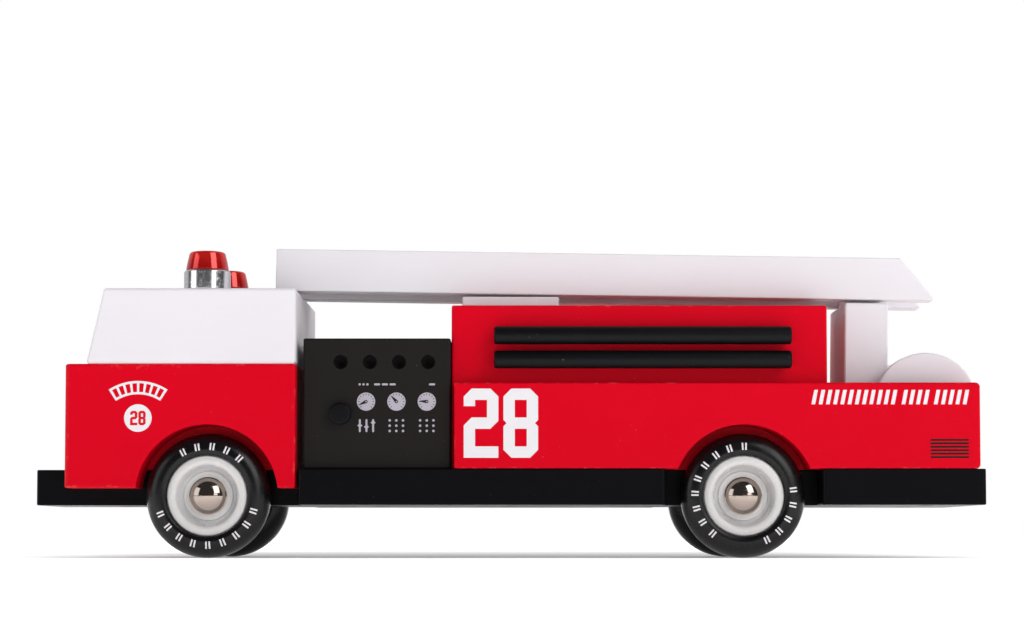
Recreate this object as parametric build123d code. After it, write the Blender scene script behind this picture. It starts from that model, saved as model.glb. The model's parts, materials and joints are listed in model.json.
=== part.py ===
from build123d import *
import math
import os

# Wooden toy ladder truck, millimetres.  +X points to the tail, +Z up, and the left side
# of the truck faces -Y.  The origin is on the ground, under the middle of the chassis.

# ---------------------------------------------------------------- lengths, nose to tail
bumper_overhang = 13.4        # chassis board ahead of the cab
cab_length = 86.5
cab_pump_gap = 2.5            # open slot between cab and pump block
pump_length = 55.5
shoulder_gap = 1.0            # board widens this far behind the cab
pump_body_gap = 0.2
body_length = 142.0
deck_length = 56.0            # open well behind the body, between the side panels
tail_overhang = 2.1           # chassis board behind the side panels

# ---------------------------------------------------------------- widths and heights
body_width = 84.0             # cab, chassis board and side panels
pump_inset = 4.0              # pump block narrower than the cab, each side
panel_thickness = 8.0
chassis_thickness = 13.5
axle_above_board = 3.4        # axle centre above the underside of the board
cab_skirt = 7.15              # cab reaches this far below the top of the board
cab_height = 39.3             # from the top of the board
roof_height = 28.5
roof_setback = 8.0            # foot of the windscreen behind the cab's front face
roof_rake = 6.5               # how far the windscreen leans back over its height
pump_height = 49.2
body_height = 62.1
panel_height = 32.3
panel_setback = 1.2           # side panel starts behind the body's front face
deck_thickness = 4.0

# ---------------------------------------------------------------- wheels
tyre_diameter = 46.6
tyre_width = 15.0
tyre_shoulder = 6.3           # rounding of the tread's two edges
rim_diameter = 30.6
rim_recess = 1.6              # rim face below the tyre's side
rim_crown = 0.8               # rise and run of the ring's two broken edges
rim_wall = 3.0                # thickness of the ring behind the dish
rim_back_depth = 3.0          # hollow in the wheel's inner side
dish_diameter = 21.6          # edge of the dished centre
boss_diameter = 18.3
boss_recess = 5.4             # boss face below the tyre's side
dish_floor_recess = 7.2
boss_break = 0.4
wheel_side_gap = 1.0          # between the tyre and the board
front_axle_setback = 53.5     # behind the cab's front face
rear_axle_advance = 32.4      # ahead of the body's rear face
arch_clearance = 3.4          # radial room round the tyre
notch_margin = 2.6            # board notch longer than the arch, each end
axle_diameter = 4.0
axle_end_break = 0.3
running_clearance = 0.05      # radial, anything that turns on a shaft
cap_diameter = 13.3
cap_flange_diameter = 14.2
cap_flange_thickness = 0.8
cap_dome_height = 4.0
cap_bore_depth = 2.4          # the axle's end sits this far in the cap
cap_gap = 0.3                 # end play between the cap and the wheel's boss

# ---------------------------------------------------------------- beacons
beacon_front_setback = 51.95  # behind the cab's front face
beacon_inset = 10.3           # beacon centre in from the cab's side
beacon_base_diameter = 17.6
beacon_base_height = 7.4
lens_foot_diameter = 16.2
lens_top_diameter = 13.6
lens_height = 7.3
beacon_stud_diameter = 3.0

# ---------------------------------------------------------------- pump panel
port_count = 4
port_pitch = 10.97
port_diameter = 5.34
port_depth = 4.0
drill_half_angle = 59         # degrees, point of the drill that bored the ports
port_row_offset = 2.8         # row centre behind the block's centre
port_drop = 9.0               # below the top of the block
knob_drop = 28.5              # below the top of the block
knob_diameter = 8.2
knob_length = 3.6
knob_gap = 0.3                # behind the knob, so that it turns
knob_stem_diameter = 3.0
knob_stem_depth = 9.0

# ---------------------------------------------------------------- rolled hoses (dowels)
hose_diameter = 6.82
hose_length = 111.7
hose_front_setback = 16.1     # behind the body's front face
hose_standoff = 1.6
hose_upper_drop = 11.9        # centre below the top of the body
hose_pitch = 9.1
hose_peg_diameter = 3.0
hose_peg_inset = 15.0         # from the end of each dowel
hose_peg_depth = 5.0          # into the body

# ---------------------------------------------------------------- ladder arm
hinge_setback = 38.4          # hinge centre behind the body's rear face
hinge_height = 25.1           # hinge centre above the top of the board
ear_radius = 19.5
ear_thickness = 7.3
ear_foot_half_length = 13.6
ear_gap = 0.5                 # between the ears and the arm
hinge_pin_diameter = 8.0
pin_end_recess = 0.3
post_setback = 8.4            # post behind the body's rear face
post_depth = 16.6
post_drop = 12.0              # post reaches this far below the hinge centre
cheek_thickness = 5.0
foot_radius = 14.0            # round foot of each cheek, about the hinge
cheek_rise = 8.4              # top of the cheek's rear part above the hinge
post_top_gap = 1.3            # under the rails
ladder_width = 40.0
rail_thickness = 10.0
rail_height = 16.2
ladder_reach = 249.1          # tip of the rails ahead of the hinge centre
ladder_tail = 4.7             # lower tail corner behind the hinge centre
tail_cut = 13.7               # upper tail corner ahead of the lower one
stowed_tilt = 0.87            # degrees, tip up, when the ladder lies on the truck
body_lift = 3.3               # rails above the body at the post
roof_gap = 1.2                # rails above the roof's rear edge
rest_length = 37.2
rest_setback = 3.7            # rest behind the body's front face
rest_gap = 0.7                # between the rest and the rails
rung_diameter = 3.6
rung_height = 13.0            # centre above the rails' underside
rung_pitch = 18.0
rung_tip_inset = 9.3          # first rung behind the tip
rung_seat = 3.0               # blind depth in each rail
post_pin_diameter = 4.0
post_pin_seat = 6.0
post_pin_height = 6.3         # above the rails' underside
post_pin_inset = 4.6          # from the post's front and rear faces
tongue_height = 14.0          # post tongue between the rails
tongue_inset = 1.5

# ---------------------------------------------------------------- sliding fly ladder
fly_gap = 0.3                 # to the main rails, and round the runners
fly_rail_thickness = 4.2
fly_rail_height = 7.0
fly_lift = 2.5                # above the main rails' underside
fly_tip = 1.2                 # stands out of the main ladder's tip
fly_post_gap = 6.0            # rear end ahead of the post
fly_travel = 130.0
fly_rung_diameter = 3.0
fly_rung_seat = 2.5
groove_height = 3.0
groove_depth = 2.2
runner_length = 30.0
runner_inset = 16.5           # runner ahead of the fly's rear end

# ---------------------------------------------------------------- edges and fasteners
edge_radius = 0.8             # sanded edges of the painted blocks
fine_edge = 0.5
cab_corner_radius = 3.0       # upright front corners of the cab
roof_edge_radius = 1.2
board_corner_radius = 1.5
post_corner_radius = 1.0
panel_corner_radius = 1.7
screw_diameter = 3.0
screw_head_diameter = 6.4
screw_head_thickness = 2.0
screw_head_recess = 0.8
screw_bite = 10.0             # thread above the board
screw_hole_clearance = 0.2
screw_slot_length = 3.8       # each arm of the cross
screw_slot_width = 0.9
screw_slot_depth = 1.2
cab_screw_front_inset = 17.2
cab_screw_rear_inset = 12.9
body_screw_insets = (21.3, 78.1)   # behind the body's front face
dowel_diameter = 6.0
dowel_seat = 10.0
roof_dowel_front_inset = 24.1
roof_dowel_rear_inset = 17.2
beacon_stud_seat = 5.0
overshoot = 1.0               # holes are cut this far past a face
same_radius = 0.01            # slack when edges are picked by their radius

# ---------------------------------------------------------------- places worked out
chassis_length = (bumper_overhang + cab_length + cab_pump_gap + pump_length + pump_body_gap
                  + body_length + deck_length + tail_overhang)
board_front = -chassis_length / 2
board_rear = chassis_length / 2
cab_front = board_front + bumper_overhang
cab_rear = cab_front + cab_length
shoulder_x = cab_rear + shoulder_gap
pump_front = cab_rear + cab_pump_gap
pump_rear = pump_front + pump_length
body_front = pump_rear + pump_body_gap
body_rear = body_front + body_length
deck_rear = body_rear + deck_length

half_width = body_width / 2
pump_half = half_width - pump_inset
body_half = half_width - panel_thickness
wheel_inner = half_width - tyre_width
board_half = wheel_inner - wheel_side_gap

tyre_radius = tyre_diameter / 2
axle_z = tyre_radius
board_bottom = axle_z - axle_above_board
board_top = board_bottom + chassis_thickness
cab_bottom = board_top - cab_skirt
cab_top = board_top + cab_height
roof_top = cab_top + roof_height
pump_top = board_top + pump_height
body_top = board_top + body_height
panel_top = board_top + panel_height
deck_top = board_top + deck_thickness

front_axle_x = cab_front + front_axle_setback
rear_axle_x = body_rear - rear_axle_advance
arch_radius = tyre_radius + arch_clearance
notch_half = arch_radius + notch_margin

hinge_x = body_rear + hinge_setback
hinge_z = board_top + hinge_height
tilt = math.radians(stowed_tilt)
over_body = body_top + body_lift
over_roof = hinge_z + (roof_top + roof_gap - hinge_z
                       - (hinge_x - cab_rear) * math.tan(tilt)) * math.cos(tilt)
rail_bottom = max(over_body, over_roof)
rail_top = rail_bottom + rail_height
rail_outer = ladder_width / 2
rail_inner = rail_outer - rail_thickness
ladder_tip = hinge_x - ladder_reach
ladder_end = hinge_x + ladder_tail
post_front = body_rear + post_setback
post_rear = post_front + post_depth
post_bottom = hinge_z - post_drop
post_top = rail_bottom - post_top_gap
cheek_inner = rail_outer - cheek_thickness
ear_inner = rail_outer + ear_gap
ear_outer = ear_inner + ear_thickness
rung_z = rail_bottom + rung_height

fly_outer = rail_inner - fly_gap
fly_inner = fly_outer - fly_rail_thickness
fly_bottom = rail_bottom + fly_lift
fly_top = fly_bottom + fly_rail_height
fly_front = ladder_tip - fly_tip
fly_rear = post_front - fly_post_gap
fly_mid_z = (fly_bottom + fly_top) / 2
runner_rear = fly_rear - runner_inset
runner_front = runner_rear - runner_length
groove_front = runner_front - fly_travel - fly_gap
groove_rear = runner_rear + fly_gap

rest_front = body_front + rest_setback
rest_rear = rest_front + rest_length
rest_top = (hinge_z + (rail_bottom - hinge_z) / math.cos(tilt)
            + (hinge_x - rest_rear) * math.tan(tilt) - rest_gap)

port_xs = [(pump_front + pump_rear) / 2 + port_row_offset + port_pitch * (i - (port_count - 1) / 2)
           for i in range(port_count)]
port_z = pump_top - port_drop
knob_x = port_xs[0]
knob_z = pump_top - knob_drop

hose_front = body_front + hose_front_setback
hose_rear = hose_front + hose_length
hose_y = body_half + hose_standoff + hose_diameter / 2
hose_zs = {"upper": body_top - hose_upper_drop, "lower": body_top - hose_upper_drop - hose_pitch}
hose_peg_xs = [hose_front + hose_peg_inset, hose_rear - hose_peg_inset]

beacon_x = cab_front + beacon_front_setback
beacon_y = half_width - beacon_inset
lens_bottom = roof_top + beacon_base_height
lens_top = lens_bottom + lens_height
beacon_stud_bottom = roof_top - beacon_stud_seat
beacon_stud_top = lens_bottom + beacon_stud_seat

# One row of screws under the cab, pump and body, and one under each hinge ear.
ear_middle = (ear_inner + ear_outer) / 2
screw_places = [(cab_front + cab_screw_front_inset, 0), (cab_rear - cab_screw_rear_inset, 0),
                ((pump_front + pump_rear) / 2, 0), (body_front + body_screw_insets[0], 0),
                (body_front + body_screw_insets[1], 0), (hinge_x, -ear_middle),
                (hinge_x, ear_middle)]
screw_tip = board_top + screw_bite
roof_dowel_xs = [cab_front + roof_dowel_front_inset, cab_rear - roof_dowel_rear_inset]


# ---------------------------------------------------------------- shape helpers
def block(x0, x1, y0, y1, z0, z1):
    """Plain block between two corners."""
    return Pos((x0 + x1) / 2, (y0 + y1) / 2, (z0 + z1) / 2) * Box(x1 - x0, y1 - y0, z1 - z0)


def sanded(shape, upright, rim):
    """Round the upright edges of a block, then its top and bottom rims."""
    shape = fillet(shape.edges().filter_by(Axis.Z), upright)
    faces = shape.faces().filter_by(Axis.Z).sort_by(Axis.Z)
    return fillet(faces[0].edges() + faces[-1].edges(), rim)


def bar_y(x, z, y0, y1, diameter):
    """Round bar along Y."""
    return Pos(x, (y0 + y1) / 2, z) * Rot(90, 0, 0) * Cylinder(diameter / 2, y1 - y0)


def bar_z(x, y, z0, z1, diameter):
    """Round bar along Z."""
    return Pos(x, y, (z0 + z1) / 2) * Cylinder(diameter / 2, z1 - z0)


def slab(points, y0, y1):
    """Upright plate: an outline of (x, z) points, from y0 to y1."""
    outline = make_face(Polyline(*[(x, y0, z) for x, z in points], close=True))
    return extrude(outline, amount=y1 - y0, dir=(0, 1, 0))


def turned(profile):
    """Turned piece about the Y axis: a closed outline of (radius, y) points."""
    return revolve(make_face(Polyline(*[(r, y, 0) for r, y in profile], close=True)), Axis.Y)


def other_side(shape):
    """The same piece on the left side of the truck."""
    return mirror(shape, about=Plane.XZ)


def stow(shape):
    """Tip a piece of the level ladder arm up to its stowed slope, about the hinge."""
    return Pos(hinge_x, 0, hinge_z) * Rot(0, stowed_tilt, 0) * Pos(-hinge_x, 0, -hinge_z) * shape


def wheel_room(axle_x):
    """Space of both wheels on one axle, cut out of the bodywork beside the board."""
    depth = half_width + overshoot
    right = bar_y(axle_x, axle_z, board_half, depth, 2 * arch_radius)
    return right + other_side(right)


def screw_pilots():
    """Threaded holes that the chassis screws cut, above the board."""
    return [bar_z(x, y, board_top - overshoot, screw_tip, screw_diameter)
            for x, y in screw_places]


# ---------------------------------------------------------------- chassis and bodywork
def make_chassis():
    """Board with full-width running boards, narrow at the nose and at the rear wheels."""
    side = [(board_front, board_half), (shoulder_x, board_half),
            (shoulder_x, half_width), (rear_axle_x - notch_half, half_width),
            (rear_axle_x - notch_half, board_half), (rear_axle_x + notch_half, board_half),
            (rear_axle_x + notch_half, half_width), (board_rear, half_width)]
    outline = side + [(x, -y) for x, y in reversed(side)]
    board = extrude(make_face(Polyline(*[(x, y, board_bottom) for x, y in outline], close=True)),
                    amount=chassis_thickness, dir=(0, 0, 1))
    corners = board.edges().filter_by(Axis.Z).filter_by(
        lambda edge: abs(edge.center().Y) > board_half + wheel_side_gap
        or abs(edge.center().X) > board_rear - tail_overhang)
    board = fillet(corners, board_corner_radius)
    faces = board.faces().filter_by(Axis.Z).sort_by(Axis.Z)
    board = fillet(faces[0].edges() + faces[-1].edges(), fine_edge)
    for axle_x in (front_axle_x, rear_axle_x):
        board -= bar_y(axle_x, axle_z, -half_width, half_width, axle_diameter)
    head_seat = board_bottom + screw_head_recess + screw_head_thickness
    for x, y in screw_places:
        board -= bar_z(x, y, board_bottom - overshoot, head_seat,
                       screw_head_diameter + 2 * screw_hole_clearance)
        board -= bar_z(x, y, board_bottom, board_top + overshoot,
                       screw_diameter + 2 * screw_hole_clearance)
    return board


def make_cab_lower():
    """Lower cab block, saddled over the board, with a wheel pocket on each side."""
    cab = block(cab_front, cab_rear, -half_width, half_width, cab_bottom, cab_top)
    uprights = cab.edges().filter_by(Axis.Z).group_by(Axis.X)
    cab = fillet(uprights[0], cab_corner_radius)
    rear_uprights = cab.edges().filter_by(Axis.Z).group_by(Axis.X)[-1]
    cab = fillet(rear_uprights, edge_radius)
    faces = cab.faces().filter_by(Axis.Z).sort_by(Axis.Z)
    cab = fillet(faces[0].edges() + faces[-1].edges(), edge_radius)
    cab -= block(cab_front - overshoot, cab_rear + overshoot, -board_half, board_half,
                 cab_bottom - overshoot, board_top)
    cab -= wheel_room(front_axle_x)
    for pilot in screw_pilots()[:2]:
        cab -= pilot
    for x in roof_dowel_xs:
        cab -= bar_z(x, 0, cab_top - dowel_seat, cab_top + overshoot, dowel_diameter)
    return cab


def make_cab_upper():
    """White upper cab with a raked windscreen face and a flat roof."""
    foot = cab_front + roof_setback
    roof = slab([(foot, cab_top), (cab_rear, cab_top), (cab_rear, roof_top),
                 (foot + roof_rake, roof_top)], -half_width, half_width)
    side_edges = roof.edges().filter_by(GeomType.LINE).filter_by(
        lambda edge: abs(edge.tangent_at(0.5).Z) > 0.9)
    roof = fillet(side_edges, roof_edge_radius)
    faces = roof.faces().filter_by(Axis.Z).sort_by(Axis.Z)
    roof = fillet(faces[-1].edges(), roof_edge_radius)
    roof = chamfer(roof.faces().filter_by(Axis.Z).sort_by(Axis.Z)[0].edges(), edge_radius)
    for x in roof_dowel_xs:
        roof -= bar_z(x, 0, cab_top - overshoot, cab_top + dowel_seat, dowel_diameter)
    for y in (-beacon_y, beacon_y):
        roof -= bar_z(beacon_x, y, beacon_stud_bottom, roof_top + overshoot,
                      beacon_stud_diameter)
    return roof


def make_cab_dowels():
    """Two dowels that hold the upper cab on the lower cab."""
    dowels = [bar_z(x, 0, cab_top - dowel_seat, cab_top + dowel_seat, dowel_diameter)
              for x in roof_dowel_xs]
    return Compound(children=dowels)


def make_pump_block():
    """Dark pump block: a row of blind ports and a knob bore on each side."""
    pump = sanded(block(pump_front, pump_rear, -pump_half, pump_half, board_top, pump_top),
                  edge_radius, edge_radius)
    tip = port_diameter / 2 / math.tan(math.radians(drill_half_angle))
    port = turned([(0, pump_half - port_depth - tip), (port_diameter / 2, pump_half - port_depth),
                   (port_diameter / 2, pump_half + overshoot), (0, pump_half + overshoot)])
    for x in port_xs:
        drilled = Pos(x, 0, port_z) * port
        pump -= drilled
        pump -= other_side(drilled)
    bore = bar_y(knob_x, knob_z, pump_half - knob_stem_depth - knob_gap,
                 pump_half + overshoot, knob_stem_diameter + 2 * running_clearance)
    pump -= bore
    pump -= other_side(bore)
    return pump - screw_pilots()[2]


def make_body_block():
    """Tall red block that carries the hoses, the side panels and the ladder rest."""
    body = sanded(block(body_front, body_rear, -body_half, body_half, board_top, body_top),
                  edge_radius, edge_radius)
    body -= wheel_room(rear_axle_x)
    for pilot in screw_pilots()[3:5]:
        body -= pilot
    for z in hose_zs.values():
        for x in hose_peg_xs:
            hole = bar_y(x, z, body_half - hose_peg_depth, body_half + overshoot,
                         hose_peg_diameter)
            body -= hole
            body -= other_side(hole)
    return body


def make_side_panel():
    """Right side panel, from the body's front to the tail, arched over the wheel."""
    panel = block(body_front + panel_setback, deck_rear, body_half, half_width,
                  board_top, panel_top)
    corners = panel.edges().filter_by(Axis.Y).group_by(Axis.X)[-1]
    panel = fillet(corners, panel_corner_radius)
    panel = fillet(panel.edges().filter_by(Axis.Y).group_by(Axis.X)[0], edge_radius)
    outer = panel.faces().filter_by(Axis.Y).sort_by(Axis.Y)[-1]
    panel = fillet(outer.edges(), edge_radius)
    return panel - wheel_room(rear_axle_x)


def make_rear_deck():
    """Thin board on the chassis between the side panels; the hinge ears stand on it."""
    deck = block(body_rear, deck_rear, -body_half, body_half, board_top, deck_top)
    for pilot in screw_pilots()[5:]:
        deck -= pilot
    return deck


def make_ladder_rest():
    """Low block on the body's roof, under the stowed ladder."""
    return sanded(block(rest_front, rest_rear, -rail_outer, rail_outer, body_top, rest_top),
                  edge_radius, fine_edge)


def make_hose(z):
    """Dowel along the right side of the body, standing for a rolled hose."""
    hose = Pos((hose_front + hose_rear) / 2, hose_y, z) * Rot(0, 90, 0) * Cylinder(
        hose_diameter / 2, hose_length)
    hose = chamfer(hose.edges().filter_by(GeomType.CIRCLE), fine_edge)
    for x in hose_peg_xs:
        hose -= bar_y(x, z, 0, hose_y, hose_peg_diameter)
    return hose


def make_hose_pegs():
    """Short pegs between the hoses and the body."""
    pegs = []
    for z in hose_zs.values():
        for x in hose_peg_xs:
            peg = bar_y(x, z, body_half - hose_peg_depth, hose_y, hose_peg_diameter)
            pegs += [peg, other_side(peg)]
    return Compound(children=pegs)


def make_screws():
    """Cross-head screws from below: through the board into the blocks and the ears."""
    head_bottom = board_bottom + screw_head_recess
    head_top = head_bottom + screw_head_thickness
    slot_bottom = head_bottom - overshoot
    slot_top = head_bottom + screw_slot_depth
    long, wide = screw_slot_length / 2, screw_slot_width / 2
    screws = []
    for x, y in screw_places:
        screw = bar_z(x, y, head_bottom, head_top, screw_head_diameter)
        screw += bar_z(x, y, head_bottom, screw_tip, screw_diameter)
        screw -= block(x - long, x + long, y - wide, y + wide, slot_bottom, slot_top)
        screw -= block(x - wide, x + wide, y - long, y + long, slot_bottom, slot_top)
        screws.append(screw)
    return Compound(children=screws)


# ---------------------------------------------------------------- beacons and knobs
def make_beacon_base():
    """Bright metal base of the right beacon, a plain cylinder with a broken top edge."""
    base = bar_z(beacon_x, beacon_y, roof_top, lens_bottom, beacon_base_diameter)
    base = chamfer(base.edges().group_by(Axis.Z)[-1], fine_edge)
    return base - bar_z(beacon_x, beacon_y, roof_top - overshoot, lens_bottom + overshoot,
                        beacon_stud_diameter)


def make_beacon_lens():
    """Tapered lens of the right beacon."""
    foot, top = lens_foot_diameter / 2, lens_top_diameter / 2
    lens = Pos(beacon_x, beacon_y, (lens_bottom + lens_top) / 2) * Cone(foot, top, lens_height)
    lens = fillet(lens.edges().group_by(Axis.Z)[-1], edge_radius)
    return lens - bar_z(beacon_x, beacon_y, lens_bottom - overshoot, beacon_stud_top,
                        beacon_stud_diameter)


def make_beacon_studs():
    """Steel studs from the roof through each base into its lens."""
    studs = [bar_z(beacon_x, y, beacon_stud_bottom, beacon_stud_top, beacon_stud_diameter)
             for y in (-beacon_y, beacon_y)]
    return Compound(children=studs)


def make_knob():
    """Round valve knob on the right side of the pump block."""
    inner = pump_half + knob_gap
    knob = bar_y(knob_x, knob_z, inner, inner + knob_length, knob_diameter)
    knob = fillet(knob.edges().group_by(Axis.Y)[-1], edge_radius)
    return knob - bar_y(knob_x, knob_z, inner - overshoot, inner + knob_length / 2,
                        knob_stem_diameter)


def make_knob_stem():
    """Stem that the right knob turns on."""
    inner = pump_half + knob_gap
    return bar_y(knob_x, knob_z, inner - knob_stem_depth, inner + knob_length / 2,
                 knob_stem_diameter)


# ---------------------------------------------------------------- wheels
def make_tyre():
    """Rubber tyre of a right wheel, centred on the Y axis, inner side at y = 0."""
    tyre = turned([(rim_diameter / 2, 0), (tyre_radius, 0), (tyre_radius, tyre_width),
                   (rim_diameter / 2, tyre_width)])
    rims = tyre.edges().filter_by(GeomType.CIRCLE).filter_by(
        lambda edge: edge.radius > tyre_radius - same_radius)
    tyre = fillet(rims, tyre_shoulder)
    beads = tyre.edges().filter_by(GeomType.CIRCLE).filter_by(
        lambda edge: edge.radius < rim_diameter / 2 + same_radius)
    return fillet(beads, edge_radius)


def make_rim():
    """Moulded wheel centre: rounded outer ring, dish and boss, bored for the axle."""
    ring = rim_diameter / 2
    dish = dish_diameter / 2
    boss = boss_diameter / 2
    face = tyre_width - rim_recess
    floor = tyre_width - dish_floor_recess
    top = tyre_width - boss_recess
    crown = face + rim_crown
    bore = axle_diameter / 2 + running_clearance
    profile = [(bore, 0), (boss, 0), (boss, rim_back_depth), (ring - rim_wall, rim_back_depth),
               (ring - rim_wall, edge_radius), (ring, edge_radius), (ring, face),
               (ring - rim_crown, crown), (dish + rim_crown, crown), (dish, face),
               (dish, floor), (boss, floor), (boss, top - boss_break), (boss - boss_break, top),
               (bore, top)]
    return turned(profile)


def make_hub_cap():
    """Domed cap pressed on the axle's end; it keeps the wheel on."""
    seat = tyre_width - boss_recess + cap_gap
    flange = cap_flange_diameter / 2
    dome = cap_diameter / 2
    shoulder = seat + cap_flange_thickness
    with BuildPart() as cap:
        with BuildSketch(Plane.XY):
            with BuildLine():
                Polyline((0, seat), (flange, seat), (flange, shoulder), (dome, shoulder))
                ThreePointArc((dome, shoulder), *dome_arc(dome, shoulder))
                Line((0, shoulder + cap_dome_height), (0, seat))
            make_face()
        revolve(axis=Axis.Y)
    return cap.part - bar_y(0, 0, seat - overshoot, seat + cap_bore_depth, axle_diameter)


def dome_arc(radius, base):
    """Middle and top points of the cap's domed outline."""
    sphere = (radius ** 2 + cap_dome_height ** 2) / (2 * cap_dome_height)
    centre = base + cap_dome_height - sphere
    half_angle = math.asin(radius / sphere) / 2
    middle = (sphere * math.sin(half_angle), centre + sphere * math.cos(half_angle))
    return middle, (0, base + cap_dome_height)


def make_axle(axle_x):
    """Steel axle, pressed in the board, with a cap on each end."""
    end = wheel_inner + tyre_width - boss_recess + cap_gap + cap_bore_depth
    axle = bar_y(axle_x, axle_z, -end, end, axle_diameter)
    return chamfer(axle.edges().filter_by(GeomType.CIRCLE), axle_end_break)


# ---------------------------------------------------------------- ladder hinge and arm
def make_hinge_ear():
    """Right hinge ear: a disc on a foot, standing on the rear deck."""
    ear = bar_y(hinge_x, hinge_z, ear_inner, ear_outer, 2 * ear_radius)
    ear += block(hinge_x - ear_foot_half_length, hinge_x + ear_foot_half_length,
                 ear_inner, ear_outer, deck_top, hinge_z)
    round_rims = ear.edges().filter_by(GeomType.CIRCLE)
    ear = fillet(round_rims, edge_radius)
    ear -= bar_y(hinge_x, hinge_z, ear_inner - overshoot, ear_outer + overshoot,
                 hinge_pin_diameter)
    return ear - screw_pilots()[-1]


def make_hinge_pin():
    """Dowel fixed in both ears; the arm's cheeks turn on it."""
    end = ear_outer - pin_end_recess
    pin = bar_y(hinge_x, hinge_z, -end, end, hinge_pin_diameter)
    return chamfer(pin.edges().filter_by(GeomType.CIRCLE), fine_edge)


def make_post_core():
    """Middle of the post, with a tongue up between the ladder rails."""
    core = block(post_front, post_rear, -cheek_inner, cheek_inner, post_bottom, post_top)
    core = fillet(core.edges().filter_by(Axis.Y), edge_radius)
    core += block(post_front + tongue_inset, post_rear - tongue_inset, -rail_inner, rail_inner,
                  post_top - edge_radius, post_top + tongue_height)
    for x, z in post_pin_places():
        core -= bar_y(x, z, -rail_outer, rail_outer, post_pin_diameter)
    return stow(core)


def post_pin_places():
    """Two pins across the rails and the tongue."""
    z = rail_bottom + post_pin_height
    return [(post_front + post_pin_inset, z), (post_rear - post_pin_inset, z)]


def make_post_cheek():
    """Right cheek of the post: it runs back to a round foot on the hinge pin."""
    cheek = block(post_front, post_rear, cheek_inner, rail_outer, post_bottom, post_top)
    cheek += block(post_rear - edge_radius, hinge_x, cheek_inner, rail_outer,
                   post_bottom, hinge_z + cheek_rise)
    cheek += bar_y(hinge_x, hinge_z, cheek_inner, rail_outer, 2 * foot_radius)
    top_corners = cheek.edges().filter_by(Axis.Y).group_by(Axis.Z)[-1]
    cheek = fillet(top_corners, post_corner_radius)
    outer = cheek.faces().filter_by(Axis.Y).sort_by(Axis.Y)[-1]
    cheek = chamfer(outer.edges(), fine_edge)
    cheek -= bar_y(hinge_x, hinge_z, cheek_inner - overshoot, rail_outer + overshoot,
                   hinge_pin_diameter + 2 * running_clearance)
    return stow(cheek)


def make_post_pins():
    """Blind pins that hold the rails on the post's tongue."""
    end = rail_inner + post_pin_seat
    return Compound(children=[stow(bar_y(x, z, -end, end, post_pin_diameter))
                              for x, z in post_pin_places()])


def rung_xs(first, last):
    """Rung places along a ladder, one pitch apart."""
    count = int((last - first) // rung_pitch) + 1
    return [first + rung_pitch * i for i in range(count)]


main_rung_xs = rung_xs(ladder_tip + rung_tip_inset, post_front - rung_diameter)
fly_rung_xs = rung_xs(fly_front + rung_tip_inset, fly_rear - fly_rung_diameter)


def make_ladder_rail():
    """Right main rail: slanted tail, blind rung holes and a groove for the fly's runner."""
    rail = slab([(ladder_tip, rail_bottom), (ladder_end, rail_bottom),
                 (ladder_end - tail_cut, rail_top), (ladder_tip, rail_top)],
                rail_inner, rail_outer)
    rail = fillet(rail.edges(), fine_edge)
    for x in main_rung_xs:
        rail -= bar_y(x, rung_z, rail_inner - overshoot, rail_inner + rung_seat, rung_diameter)
    for x, z in post_pin_places():
        rail -= bar_y(x, z, rail_inner - overshoot, rail_inner + post_pin_seat,
                      post_pin_diameter)
    rail -= block(groove_front, groove_rear, rail_inner - overshoot, rail_inner + groove_depth,
                  fly_mid_z - groove_height / 2, fly_mid_z + groove_height / 2)
    return stow(rail)


def make_ladder_rungs():
    """Rungs between the main rails."""
    end = rail_inner + rung_seat
    return Compound(children=[stow(bar_y(x, rung_z, -end, end, rung_diameter))
                              for x in main_rung_xs])


def make_fly_rail():
    """Right rail of the fly ladder, with the runner that slides in the main rail."""
    rail = block(fly_front, fly_rear, fly_inner, fly_outer, fly_bottom, fly_top)
    rail = fillet(rail.edges(), fine_edge)
    runner_half = groove_height / 2 - fly_gap
    rail += block(runner_front, runner_rear, fly_outer - fine_edge,
                  rail_inner + groove_depth - fly_gap, fly_mid_z - runner_half,
                  fly_mid_z + runner_half)
    for x in fly_rung_xs:
        rail -= bar_y(x, fly_mid_z, fly_inner - overshoot, fly_inner + fly_rung_seat,
                      fly_rung_diameter)
    return stow(rail)


def make_fly_rungs():
    """Rungs between the fly rails."""
    end = fly_inner + fly_rung_seat
    return Compound(children=[stow(bar_y(x, fly_mid_z, -end, end, fly_rung_diameter))
                              for x in fly_rung_xs])


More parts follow.
